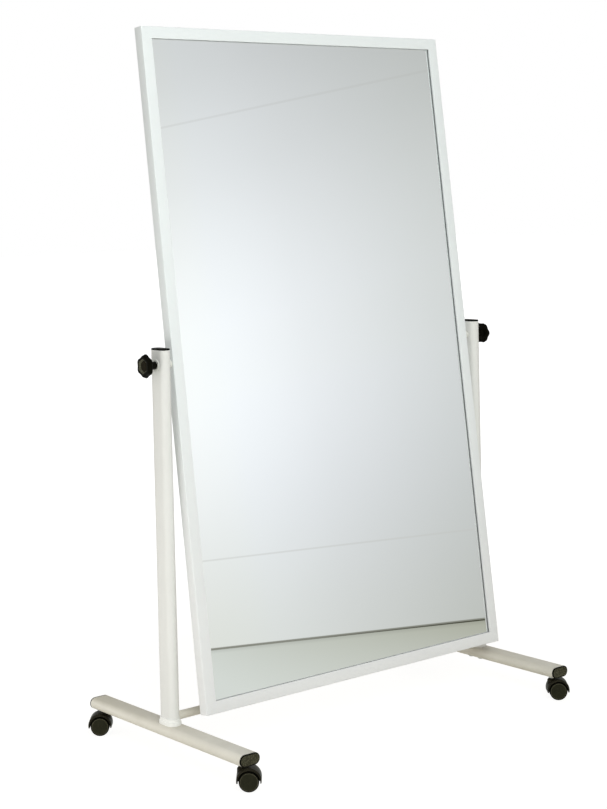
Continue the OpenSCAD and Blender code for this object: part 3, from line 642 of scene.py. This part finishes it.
def panel_frame():
    """The panel's own directions, read off the glass: its face normal to the front and its upward edge."""
    glass = frame["nodes"]["mirror_glass"]
    largest = max(glass.data.polygons, key=lambda p: p.area)
    front = (glass.matrix_world.to_3x3() @ largest.normal).normalized()
    if front.y > 0:
        front = -front
    up = Vector((1, 0, 0)).cross(front)
    if up.z < 0:
        up = -up
    return front, up.normalized()


PANEL_FRONT, PANEL_UP = panel_frame()
PANEL_W, PANEL_H, PANEL_DEPTH = 1.040, 1.755, 0.030
PIVOT_UP = 0.0095
FACE_W, LIP_T, SEAT_W, PROFILE_WALL, WEB_W = 0.031, 0.005, 0.024, 0.002, 0.021
FACE_BEVEL, LIP_ROUND, LIP_BREAK, SEAT_ROUND, BACK_ROUND = 0.0016, 0.0005, 0.0001, 0.0008, 0.0006


def in_panel(x, z, depth):
    """A point in the panel: across from its middle, up from its middle, and back from its front face."""
    return PIVOT + Vector((x, 0, 0)) + PANEL_UP * (z - PIVOT_UP) + PANEL_FRONT * (PANEL_DEPTH / 2 - depth)


def shrunk(loop, inset):
    """A closed outline drawn in by a small inset, given counter-clockwise."""
    result = []
    for i, b in enumerate(loop):
        a, c = loop[i - 1], loop[(i + 1) % len(loop)]
        first, second = (b - a).normalized(), (c - b).normalized()
        n1, n2 = Vector((-first.y, first.x)), Vector((-second.y, second.x))
        bisector = (n1 + n2).normalized()
        result.append(b + bisector * (inset / max(0.5, bisector.dot(n1))))
    return result


def profile_outline():
    """Section of the frame: across from its outer edge inward, and back from its front face, counter-clockwise."""
    loop = arc(FACE_BEVEL, FACE_BEVEL, FACE_BEVEL, 180, 270, 6)
    loop += arc(FACE_W - LIP_ROUND, LIP_ROUND, LIP_ROUND, -90, 0, 3)
    loop += [(FACE_W, LIP_T - LIP_BREAK), (FACE_W - LIP_BREAK, LIP_T), (WEB_W, LIP_T)]
    loop += arc(WEB_W - SEAT_ROUND, SEAT_W - SEAT_ROUND, SEAT_ROUND, 0, 90, 3)
    loop += [
        (PROFILE_WALL, SEAT_W), (PROFILE_WALL, PANEL_DEPTH - BACK_ROUND), (PROFILE_WALL - BACK_ROUND, PANEL_DEPTH)]
    loop += arc(BACK_ROUND, PANEL_DEPTH - BACK_ROUND, BACK_ROUND, 90, 180, 2)
    return loop


CHAMBER = [
    (PROFILE_WALL, PROFILE_WALL), (WEB_W - PROFILE_WALL, PROFILE_WALL), (WEB_W - PROFILE_WALL, SEAT_W - PROFILE_WALL),
    (PROFILE_WALL, SEAT_W - PROFILE_WALL)]
MITRE_GAP, MITRE_BREAK = 0.00002, 0.0001


def frame_length(name, length, place):
    """One mitred, hollow length of the frame; place turns (inward, back, along) into the row frame."""
    outer, inner = ([Vector(p) for p in loop] for loop in (profile_outline(), CHAMBER))
    small = shrunk(outer, MITRE_BREAK)
    near, far_gap = MITRE_GAP + MITRE_BREAK, -MITRE_GAP - MITRE_BREAK
    stations = ((small, 0, MITRE_GAP), (outer, 0, near), (outer, 1, far_gap), (small, 1, -MITRE_GAP),
                (inner, 0, MITRE_GAP), (inner, 1, -MITRE_GAP))
    points = [place(p.x, p.y, (length - p.x if far else p.x) + shift) for loop, far, shift in stations for p in loop]
    faces = []
    n = len(outer)
    hole = 4 * n
    for level in range(3):
        for k in range(n):
            j = (k + 1) % n
            faces.append((level * n + k, level * n + j, (level + 1) * n + j, (level + 1) * n + k))
    for k in range(4):
        j = (k + 1) % 4
        faces.append((hole + k, hole + 4 + k, hole + 4 + j, hole + j))
    flat = [Vector((p.x, p.y, 0)) for p in small], [Vector((p.x, p.y, 0)) for p in inner]
    for tri in tessellate_polygon(flat):
        for far in (0, 1):
            faces.append(tuple((far * 3 * n + i) if i < n else (hole + far * 4 + i - n) for i in tri))
    return mesh_piece(name, points, faces, frame_powder, sharp=24)


for side, sx in SIDES:
    stile = frame_length(
        f"{side}_frame_stile", PANEL_H, lambda a, b, h: in_panel(sx * (PANEL_W / 2 - a), h - PANEL_H / 2, b))
    fit_out(stile, "mirror_panel", "frame_white", f"{side}_stile")
for name, way in (("top", 1), ("bottom", -1)):
    rail = frame_length(
        f"{name}_frame_rail", PANEL_W, lambda a, b, h: in_panel(h - PANEL_W / 2, way * (PANEL_H / 2 - a), b))
    fit_out(rail, "mirror_panel", "frame_white", f"{name}_rail")


def panel_sheet(name, inset, front, back, edge, material):
    """A sheet in the panel with its edges just broken."""
    half_w, half_h = PANEL_W / 2 - inset, PANEL_H / 2 - inset
    rings = []
    for cut, depth in ((edge, front), (0, front + edge), (0, back - edge), (edge, back)):
        rings.append([in_panel(x * (half_w - cut), z * (half_h - cut), depth) for x, z in SQUARE])
    return mesh_piece(name, *loft(rings), material, sharp=20)


# The silver shows as far behind the lip as the glass before it makes it seem
SILVER_AT, SILVER_T, SILVER_EDGE = LIP_T + 0.0025, 0.0006, 0.0002
mirror = panel_sheet("mirror_sheet", WEB_W + 0.0015, SILVER_AT, SILVER_AT + SILVER_T, SILVER_EDGE, mirror_silver)
fit_out(mirror, "mirror_panel", "mirror_silver", "mirror_glass")
COVER_BACK, COVER_EDGE = SEAT_W + 0.003, 0.0004
back_panel = panel_sheet("back_cover", PROFILE_WALL + 0.001, SEAT_W, COVER_BACK, COVER_EDGE, lacquered_board)
fit_out(back_panel, "mirror_panel", "back_board", "back_panel")


# ---------- fasteners set out on points ----------

def set_out_tree():
    """Geometry nodes: a copy of one fastener on each point, aimed alike and turned about its axis at random."""
    tree = bpy.data.node_groups.new("set_out_fasteners", "GeometryNodeTree")
    for label, way, kind in (("Geometry", "INPUT", "Geometry"), ("Fastener", "INPUT", "Object"),
                             ("Aim", "INPUT", "Vector"), ("Most Turn", "INPUT", "Float"), ("Seed", "INPUT", "Int"),
                             ("Finish", "INPUT", "Material"), ("Geometry", "OUTPUT", "Geometry")):
        tree.interface.new_socket(label, in_out=way, socket_type=f"NodeSocket{kind}")
    start, end, points, fetch, copies, spin, spin_vector, turn, solid, finish = (tree.nodes.new(kind) for kind in (
        "NodeGroupInput", "NodeGroupOutput", "GeometryNodeMeshToPoints", "GeometryNodeObjectInfo",
        "GeometryNodeInstanceOnPoints", "FunctionNodeRandomValue", "ShaderNodeCombineXYZ",
        "GeometryNodeRotateInstances", "GeometryNodeRealizeInstances", "GeometryNodeSetMaterial"))
    spin.data_type = "FLOAT"
    for giver, out, taker, into in (
            (start, "Geometry", points, "Mesh"), (start, "Fastener", fetch, "Object"), (points, 0, copies, "Points"),
            (fetch, "Geometry", copies, "Instance"), (start, "Aim", copies, "Rotation"), (start, "Most Turn", spin, 3),
            (start, "Seed", spin, "Seed"), (spin, 1, spin_vector, "Z"), (copies, 0, turn, "Instances"),
            (spin_vector, 0, turn, "Rotation"), (turn, 0, solid, 0), (solid, 0, finish, "Geometry"),
            (start, "Finish", finish, "Material"), (finish, 0, end, "Geometry")):
        tree.links.new(giver.outputs[out], taker.inputs[into])
    return tree


SET_OUT = set_out_tree()


def set_out(name, fastener, places, aim=(0, 0, 0), most_turn=0.0, seed=1):
    """Copies of a fastener at places, in its finish, as one plain mesh. aim is an euler turn from +Z."""
    marks = bpy.data.meshes.new(name)
    marks.from_pydata([tuple(p) for p in places], [], [])
    piece = add_object(name, marks)
    nodes = piece.modifiers.new("set_out", "NODES")
    nodes.node_group = SET_OUT
    values = {"Fastener": fastener, "Aim": aim, "Most Turn": most_turn, "Seed": seed,
              "Finish": fastener.data.materials[0]}
    for item in SET_OUT.interface.items_tree:
        if item.in_out == "INPUT" and item.name in values:
            nodes[item.identifier] = values[item.name]
    bake(piece, fastener)
    return piece


def upright(x, y, h):
    return Vector((x, y, h))


def cross_screw():
    """Pan-head screw along Z, its seat at 0: domed head with a cross recess, and the shank below."""
    head = [(0, -0.0095), (0.0012, -0.0095), (0.00195, -0.0080), (0.00195, 0), (0.00375, 0), (0.00375, 0.0005)]
    head += [(0.0037, 0.0009), (0.0034, 0.0014), (0.0029, 0.0018), (0.0021, 0.0021), (0.0011, 0.00232), (0, 0.0024)]
    screw = turned("screw", head, upright, zinc_plate, steps=32)
    long, narrow = 0.0019, 0.00036
    for half_x, half_y in ((long, narrow), (narrow, long)):
        rings = [[Vector((x * half_x * grow, y * half_y * grow, h)) for x, y in SQUARE]
                 for grow, h in ((0.35, 0.0010), (1, 0.0030))]
        combine(screw, mesh_piece("recess", *loft(rings), zinc_plate), "DIFFERENCE")
    return screw


def hex_bolt(flats, head, shank_r, length):
    """Hexagon bolt along -Z: the head's top at 0, its corners turned off."""
    half, steps = flats / 2, 48
    corner = half / math.cos(math.pi / 6)

    def hexagon(limit, h):
        ring = []
        for k in range(steps):
            a = FULL_TURN * k / steps
            r = min(limit, half / math.cos((a % (math.pi / 3)) - math.pi / 6))
            ring.append(Vector((r * math.cos(a), r * math.sin(a), h)))
        return ring

    sunk = -0.0002
    rings = [[Vector((0, 0, sunk))]]
    rings += [hexagon(limit, h) for limit, h in (
        (half * 0.93, sunk), (half * 0.96, 0), (corner, -0.0007), (corner, -head), (shank_r, -head),
        (shank_r, -length + 0.001), (shank_r - 0.001, -length))]
    rings.append([Vector((0, 0, -length))])
    return mesh_piece("bolt", *loft(rings), zinc_plate, sharp=28)


STILE_SCREWS, RAIL_SCREWS, SCREW_END, SCREW_IN = 3, 2, 0.090, WEB_W / 2
screw_places = []
for way in (-1, 1):
    pitch = (PANEL_H / 2 - SCREW_END) / STILE_SCREWS
    for i in range(-STILE_SCREWS, STILE_SCREWS + 1):
        if i:
            screw_places.append(in_panel(way * (PANEL_W / 2 - SCREW_IN), i * pitch, COVER_BACK))
    pitch = (PANEL_W / 2 - SCREW_END) / RAIL_SCREWS
    for i in range(-RAIL_SCREWS, RAIL_SCREWS + 1):
        screw_places.append(in_panel(i * pitch, way * (PANEL_H / 2 - SCREW_IN), COVER_BACK))
back_aim = (-PANEL_FRONT).to_track_quat("Z", "Y").to_euler()
screws = set_out("back_cover_screws", cross_screw(), screw_places, tuple(back_aim), FULL_TURN, 7)
fit_out(screws, "mirror_panel", "zinc_steel", "back_panel_screws")

bolt_low, bolt_high = extent("foot_bolts")
washer_low, washer_high = extent("foot_washers")
FOOT_BOLT_Y, BOLT_FLATS, BOLT_R = 0.019, 0.013, 0.004
bolt_places = [Vector((sx * POST_X, sy * FOOT_BOLT_Y, bolt_low.z)) for _, sx in SIDES for _, sy in ENDS]
head_h = washer_low.z - bolt_low.z
bolts = set_out(
    "foot_hex_bolts", hex_bolt(BOLT_FLATS, head_h, BOLT_R, bolt_high.z - bolt_low.z), bolt_places, (math.pi, 0, 0),
    math.pi / 3, 3)
fit_out(bolts, "stand", "zinc_steel", "foot_bolts")
washer_places = [Vector((p.x, p.y, washer_low.z)) for p in bolt_places]
flat_washer = turned(
    "flat_washer", ring_profile(0.0085, 0.0041, washer_high.z - washer_low.z, 0.0003), upright, zinc_plate,
    looped=True, steps=48)
washers = set_out("foot_bolt_washers", flat_washer, washer_places, most_turn=FULL_TURN, seed=5)
fit_out(washers, "stand", "zinc_steel", "foot_washers")


# ---------- casters ----------

WHEEL_R, WHEEL_W, WEB_T, WHEEL_GAP = 0.025, 0.017, 0.007, 0.0008
WHEEL_INNER = WEB_T / 2 + WHEEL_GAP
HOOD_HALF = WHEEL_INNER + WHEEL_W + WHEEL_GAP
CAVITY_R, CAVITY_EDGE, CAVITY_END = WHEEL_R + 0.0025, 0.001, 0.04
HOOD_R, HOOD_MID, HOOD_ROUND = CAVITY_R + 0.0035, WHEEL_R + 0.003, 0.0022
HOOD_TOP, HOOD_SKIRT = HOOD_MID + HOOD_R, 0.022
HUB_R, TRAIL = 0.008, 0.0155
# The boss on the hood: radius, and depth below the hood's top
BOSS = ((0, 0.0175), (0.0135, 0.0175), (0.0131, 0.005), (0.0118, 0.0033), (0.0106, 0.0019), (0.0100, 0.001),
        (0.0097, 0.0003), (0.0090, 0), (0, 0))

swivel = {corner: joint_place(f"{corner}_swivel") for corner, _, _ in CORNERS}


def at_caster(corner):
    """Place in a caster's own frame: back along its trail, along its axle, and up from the floor."""
    wheel = joint_place(f"{corner}_wheel_1_roll")
    stem = swivel[corner]
    back = Vector((wheel.x - stem.x, wheel.y - stem.y, 0)).normalized()
    axle = Vector((-back.y, back.x, 0))
    return lambda t, n, h: Vector((stem.x, stem.y, 0)) + back * t + axle * n + Vector((0, 0, h))


def hood_shape():
    """The hood in a caster's own frame: a rounded drum cut flat below, with a boss, hollow for the wheels."""
    drop = HOOD_SKIRT - HOOD_MID
    edge = [(HOOD_ROUND * (1 - math.cos(a)), HOOD_HALF - HOOD_ROUND * (1 - math.sin(a)))
            for a in (math.radians(d) for d in (0, 22, 45, 68, 90))]
    rings = []
    for n, inset in [(-n, inset) for inset, n in reversed(edge)] + [(n, inset) for inset, n in edge]:
        r = HOOD_R - inset
        low = math.degrees(math.asin(drop / r))
        outline = arc(TRAIL, HOOD_MID, r, low, 180 - low, 56)
        start, end = outline[-1][0], outline[0][0]
        outline += [(start + (end - start) * k / 8, HOOD_SKIRT) for k in range(1, 8)]
        rings.append([Vector((t, n, h)) for t, h in outline])
    hood = mesh_piece("hood", *loft(rings), hood_plastic)
    combine(
        hood, turned("boss", [(r, HOOD_TOP - below) for r, below in BOSS], upright, hood_plastic, steps=48), "UNION")
    mouth = HOOD_HALF - 0.0007
    cavity = [(0, WEB_T / 2), (CAVITY_R, WEB_T / 2), (CAVITY_R, mouth), (CAVITY_R + CAVITY_EDGE, mouth + CAVITY_EDGE),
              (CAVITY_R + CAVITY_EDGE, CAVITY_END), (0, CAVITY_END)]
    for way in (-1, 1):
        space = turned(
            "wheel_space", cavity, lambda x, y, h: Vector((TRAIL + x, way * h, WHEEL_R + y)), hood_plastic, steps=96)
        combine(hood, space, "DIFFERENCE")
    hub = turned("hub", [(0, 0), (HUB_R, 0), (HUB_R, WEB_T), (0, WEB_T)],
                 lambda x, y, h: Vector((TRAIL + x, h - WEB_T / 2, WHEEL_R + y)), hood_plastic, steps=48)
    combine(hood, hub, "UNION")
    return hood


GROOVE_R, GROOVE_HALF = 0.0213, 0.0009
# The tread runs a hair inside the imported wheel, so that it stays above the floor
TREAD_R, TREAD_ROUND, SEAM = WHEEL_R - 0.00001, 0.0024, 0.00025
AXLE_BORE, BORE_END, RECESS_R, RECESS_END = 0.00305, WHEEL_W - 0.003, 0.020, 0.0075


def wheel_profile():
    """Half section of a wheel: radius, and height from its inner side to its outer face."""
    profile = [
        (0, BORE_END), (AXLE_BORE, BORE_END), (AXLE_BORE, 0), (0.0065, 0), (0.0065, RECESS_END),
        (RECESS_R, RECESS_END), (RECESS_R, 0.0004), (0.0204, 0), (0.0242, 0), (TREAD_R, 0.0008), (TREAD_R, 0.0060),
        (TREAD_R - SEAM, 0.0063), (TREAD_R - SEAM, 0.0066), (TREAD_R, 0.0069)]
    profile += arc(TREAD_R - TREAD_ROUND, WHEEL_W - TREAD_ROUND, TREAD_ROUND, 0, 82, 6)
    # The outer face: the groove, a slight dish and the axle's cap, as radius and depth below the face
    face = ((GROOVE_R + GROOVE_HALF, 0.00005), (GROOVE_R + 0.0004, 0.0005), (GROOVE_R - 0.0004, 0.0005),
            (GROOVE_R - GROOVE_HALF, 0.0001), (0.012, 0.00035), (0.0062, 0.0006), (0.0058, 0.0003),
            (0.0052, 0.0001), (0.0026, 0), (0, 0))
    return profile + [(r, WHEEL_W - below) for r, below in face]


hood = hood_shape()
hood_points = [v.co.copy() for v in hood.data.vertices]
hood_faces = [tuple(p.vertices) for p in hood.data.polygons]
bpy.data.objects.remove(hood)
for corner, sx, sy in CORNERS:
    place = at_caster(corner)
    housing = mesh_piece(f"{corner}_hood", [place(*p) for p in hood_points], hood_faces, hood_plastic, sharp=28)
    fit_out(housing, f"{corner}_caster", "black_plastic", f"{corner}_caster_housing")
    for number, way in ((1, -1), (2, 1)):
        wheel = turned(
            f"{corner}_tread_wheel_{number}", wheel_profile(),
            lambda x, y, h: place(TRAIL + x, way * (WHEEL_INNER + h), WHEEL_R + y), wheel_nylon, steps=96, sharp=40)
        hub = place(TRAIL, 0, WHEEL_R)
        axle = place(TRAIL, way, WHEEL_R) - hub

        def off_axle(point):
            return (point - hub - axle * axle.dot(point - hub)).length

        refinish(wheel, black_plastic, lambda c, n: off_axle(c) > GROOVE_R + GROOVE_HALF)
        # A painted highlight in the groove of the wheel's face
        refinish(wheel, groove_highlight_paint, lambda c, n: n.dot(axle) > 0.3 and abs(off_axle(c) - GROOVE_R) < GROOVE_HALF)
        fit_out(wheel, f"{corner}_wheel_{number}", "wheel_black", f"{corner}_wheel_{number}")

stem_low, stem_high = extent("caster_stems")
socket_low, socket_high = extent("caster_sockets")
STEM_COLLAR_R, STEM_R, STEM_COLLAR_H, PIN_R, STEM_EDGE = 0.008, 0.005, 0.0045, 0.004, 0.0005
stem_z = HOOD_TOP + STEM_EDGE
collar_z = stem_z + STEM_COLLAR_H
stem_profile = [
    (0, stem_low.z), (PIN_R - STEM_EDGE, stem_low.z), (PIN_R, stem_low.z + STEM_EDGE), (PIN_R, stem_z),
    (STEM_COLLAR_R - STEM_EDGE, stem_z), (STEM_COLLAR_R, stem_z + STEM_EDGE), (STEM_COLLAR_R, collar_z - STEM_EDGE),
    (STEM_COLLAR_R - STEM_EDGE, collar_z), (STEM_R, collar_z), (STEM_R, stem_high.z - 0.001),
    (STEM_R - 0.001, stem_high.z), (0, stem_high.z)]
stem = turned("stem", stem_profile, upright, zinc_plate, steps=40)
stem_places = [Vector((s.x, s.y, 0)) for s in swivel.values()]
stems = set_out("caster_stem_pins", stem, stem_places)
fit_out(stems, "stand", "zinc_steel", "caster_stems")
bore, flange_z = STEM_R + TUBE_SLACK, socket_low.z + 0.002
socket_profile = [
    (bore, socket_low.z + 0.0004), (bore + 0.0004, socket_low.z), (0.0095, socket_low.z),
    (0.010, socket_low.z + 0.0005), (0.010, flange_z), (0.007, flange_z), (0.007, socket_high.z),
    (bore, socket_high.z)]
socket = turned("socket", socket_profile, upright, black_plastic, looped=True, steps=48)
sockets = set_out("stem_sockets", socket, stem_places)
fit_out(sockets, "stand", "black_plastic", "caster_sockets")


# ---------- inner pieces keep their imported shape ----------

INNER_FINISH = {
    zinc_plate: ["base_plugs", "foot_sleeves", "crossbar_spigots", "spigot_grub_screws", "pivot_sleeves",
                 "pivot_block_screws", "left_stud", "right_stud"] + [f"{c[0]}_axle" for c in CORNERS],
    bare_aluminium: ["corner_keys", "pivot_blocks"],
    raw_board: ["backing_board", "packing_strips"],
}
for finish, nodes in INNER_FINISH.items():
    for node in nodes:
        for slot in frame["nodes"][node].material_slots:
            slot.material = finish


# ---------- floor, set and light ----------

def add_plane(name, corners, material):
    mesh = bpy.data.meshes.new(name)
    mesh.from_pydata(corners, [], [tuple(range(len(corners)))])
    mesh.materials.append(material)
    plane = add_object(name, mesh)
    return plane


def emission(tree, colour, strength=1.0):
    return add_node(tree, "ShaderNodeEmission", Color=colour, Strength=strength).outputs[0]


def mix_shaders(tree, share, first, second):
    node = add_node(tree, "ShaderNodeMixShader")
    for at, value in enumerate((share, first, second)):
        feed(tree, node.inputs[at], value)
    return node.outputs[0]


# The studio wall that the mirror shows, a glowing plane with the room's light and shade painted in: its foot runs
# through a point of the floor, one way
WALL_FOOT = Vector((2.2836, -4.1000, 0))
WALL_WAY = Vector((0.0825, 0.9966, 0)).normalized()
WALL_FROM, WALL_TO, WALL_H = -8, 6, 4.5

# The mirrored floor, a glow of painted light: its brightness by metres back, by metres off the wall and at the start,
# the range of that from dull to bright, and the shade along the wall as its depth and reach
FLOOR_BY_BACK, FLOOR_BY_WALL, FLOOR_START, FLOOR_REACH = -0.125, 0.198, 0.163, (0.42, 0.72)
FLOOR_DULL, FLOOR_BRIGHT = (0.415, 0.42, 0.345), (0.69, 0.72, 0.685)
FOOT_SHADE, FOOT_SHADE_REACH = 0.15, 0.2
# The floor as the light and the camera see it, and how much shadow shows from the middle outward
FLOOR_PALE, FLOOR_HALF = (0.79, 0.755, 0.67), 30.0
SHADOW_SHARE, SHADOW_FILL, SHADOW_REACH = 0.24, 1.19, (1.0, 2.4)
WHITE = (1, 1, 1)


def floor_material():
    """Studio floor: white to the camera but for a breath of shadow, plain pale to the light, a grey glow of painted
    light in the mirror.
    """
    material, tree = node_material("studio_floor")
    rays = tree.nodes.new("ShaderNodeLightPath").outputs
    plain = add_node(tree, "ShaderNodeBsdfDiffuse", Color=FLOOR_PALE).outputs[0]
    place = object_place(tree)
    away = add_node(tree, "ShaderNodeVectorMath", {"operation": "LENGTH"}, Vector=place)
    near = ramp(tree, away.outputs["Value"], SHADOW_SHARE, 0, *SHADOW_REACH)
    seen = mix_shaders(tree, near, emission(tree, WHITE, SHADOW_FILL), plain)
    spot = split(tree, place)
    to_foot = WALL_FOOT.x * WALL_WAY.y - WALL_FOOT.y * WALL_WAY.x
    off_wall = weighed(tree, spot["X"], -WALL_WAY.y, spot["Y"], WALL_WAY.x, to_foot)
    brightness = weighed(tree, spot["Y"], FLOOR_BY_BACK, off_wall, FLOOR_BY_WALL, FLOOR_START)
    tone = blend_colours(tree, ramp(tree, brightness, 0, 1, *FLOOR_REACH), FLOOR_DULL, FLOOR_BRIGHT)
    shade = ramp(tree, off_wall, FOOT_SHADE, 0, 0.0, FOOT_SHADE_REACH)
    mirrored = emission(tree, blend_colours(tree, shade, tone, (0, 0, 0)))
    shown = mix_shaders(tree, rays["Is Camera Ray"], plain, seen)
    end_with(tree, mix_shaders(tree, rays["Is Glossy Ray"], shown, mirrored))
    return material


add_plane("studio_floor", [(x * FLOOR_HALF, y * FLOOR_HALF, 0) for x, y in SQUARE], floor_material())

# The wall's painted light: colours of its glow by metres along its foot and by metres up
ALONG_WALL = (
    (-0.5, (1.0, 1.0, 1.01)), (0.4, (0.98, 1.01, 1.04)), (1.1, (0.86, 0.875, 0.905)), (2.0, (0.67, 0.69, 0.69)),
    (3.0, (0.57, 0.58, 0.55)))
UP_WALL = (
    (0.0, (0.735, 0.735, 0.69)), (0.6, (0.86, 0.86, 0.865)), (1.2, (1.02, 1.02, 1.03)), (1.8, (1.0, 1.0, 1.0)),
    (2.4, (0.835, 0.835, 0.83)), (3.2, (0.67, 0.67, 0.66)))
WALL_STRENGTH, CEILING_AT, CEILING_SLOPE = 1.03, 2.786, -0.1469


def wall_material():
    """The wall in its own measures: X along its foot in metres, Y up from the floor. It glows with painted light and
    shade.
    """
    material, tree = node_material("studio_wall")
    spot = split(tree, object_place(tree))
    along, up = spot["X"], spot["Y"]

    def stops(value, colours):
        first, last = colours[0][0], colours[-1][0]
        node = tree.nodes.new("ShaderNodeValToRGB")
        tree.links.new(ramp(tree, value, 0, 1, first, last), node.inputs[0])
        band = node.color_ramp
        band.interpolation = "B_SPLINE"
        while len(band.elements) < len(colours):
            band.elements.new(0.5)
        for element, (at, colour) in zip(band.elements, colours):
            element.position, element.color = (at - first) / (last - first), (*colour, 1)
        return node.outputs[0]

    def sloped(level, slope):
        return calc(tree, "ADD", calc(tree, "MULTIPLY", along, slope), level)

    colour = blend_colours(tree, 1.0, stops(along, ALONG_WALL), stops(up, UP_WALL), "MULTIPLY")

    def line(level, slope, width, tone, share, narrow=1.0):
        """A darker or lighter line across the wall at a height, with soft sides; narrow thins it."""
        nonlocal colour
        off = calc(tree, "ABSOLUTE", calc(tree, "SUBTRACT", up, sloped(level, slope)), 0)
        off = calc(tree, "MULTIPLY", off, narrow)
        near = calc(tree, "MULTIPLY", ramp(tree, off, 1, 0, width * 0.6, width), share)
        colour = blend_colours(tree, near, colour, tone)

    above = ramp(tree, calc(tree, "SUBTRACT", up, sloped(CEILING_AT, CEILING_SLOPE)), 0, 1, -0.004, 0.25)
    colour = blend_colours(tree, calc(tree, "MULTIPLY", above, 0.04), colour, (0.3, 0.3, 0.29))
    # The ceiling's edge, the dado, and the skirting's shadow in two layers
    line(2.790, CEILING_SLOPE, 0.007, (0.45, 0.45, 0.43), 0.2)
    line(0.4625, -0.0309, 0.005, (0.55, 0.55, 0.53), 0.4)
    line(0.0035, 0.0010, 0.0080, (0.215, 0.215, 0.18), 0.93, ramp(tree, along, 0.85, 1.05, 0.3, 1.4))
    line(0.0015, 0.0, 0.0045, (0.03, 0.03, 0.015), ramp(tree, along, 0.0, 0.95, 0.6, 1.9))
    end_with(tree, emission(tree, colour, WALL_STRENGTH))
    return material


wall = add_plane(
    "studio_wall", [(WALL_FROM, 0, 0), (WALL_TO, 0, 0), (WALL_TO, WALL_H, 0), (WALL_FROM, WALL_H, 0)], wall_material())
UP = Vector((0, 0, 1))
wall.matrix_world = Matrix.Translation(WALL_FOOT) @ Matrix((WALL_WAY, UP, WALL_WAY.cross(UP))).transposed().to_4x4()
# It shows in reflections alone
wall.visible_camera = wall.visible_diffuse = wall.visible_shadow = False
wall.visible_transmission = wall.visible_volume_scatter = False

# Strength of the room: in the middle, by the leftward and the forward way, and its lessening with height
ROOM_LEVEL, ROOM_BY_X, ROOM_BY_Y, ROOM_TINT = 0.62, -0.05, -0.11, (1.0, 0.99, 0.975)
ROOM_ABOVE, ROOM_ABOVE_AT = 0.60, 0.9


def studio_world():
    """White to the camera; to the object a pale room, brightest along the horizon at the front left."""
    world = bpy.data.worlds.new("studio_room")
    scene.world = world
    world.use_nodes = True
    tree = world.node_tree
    tree.nodes.clear()
    rays = tree.nodes.new("ShaderNodeLightPath").outputs
    way = split(tree, tree.nodes.new("ShaderNodeTexCoord").outputs["Generated"])
    height = ramp(tree, way["Z"], 1.0, ROOM_ABOVE, 0.0, ROOM_ABOVE_AT)
    level = calc(tree, "MULTIPLY", weighed(tree, way["X"], ROOM_BY_X, way["Y"], ROOM_BY_Y, ROOM_LEVEL), height)
    room = add_node(tree, "ShaderNodeBackground", Color=ROOM_TINT, Strength=level).outputs[0]
    white = add_node(tree, "ShaderNodeBackground", Color=WHITE, Strength=1.0).outputs[0]
    end_with(tree, mix_shaders(tree, rays["Is Camera Ray"], room, white), "World")


studio_world()


def add_softbox(name, at, towards, width, height, power, tint):
    light = bpy.data.lights.new(name, "AREA")
    light.shape, light.size, light.size_y = "RECTANGLE", width, height
    light.energy, light.color = power, tint
    lamp = add_object(name, light)
    lamp.location = at
    lamp.rotation_mode = "QUATERNION"
    lamp.rotation_quaternion = (Vector(towards) - Vector(at)).to_track_quat("-Z", "Y")
    lamp.visible_camera = lamp.visible_glossy = False


add_softbox("front_softbox", (-1.8, -3.6, 3.0), (-0.2, 0, 1.4), 2.2, 2.0, 105, (0.95, 1.0, 0.985))
add_softbox("low_left_softbox", (-1.75, 0.45, 0.36), (-0.55, 0.45, 0.5), 1.6, 0.6, 6.3, (1.0, 0.995, 0.99))
add_softbox("rear_softbox", (2.6, 3.8, 1.5), (0, 0, 1.0), 2.6, 2.2, 60, (1.0, 1.0, 0.99))
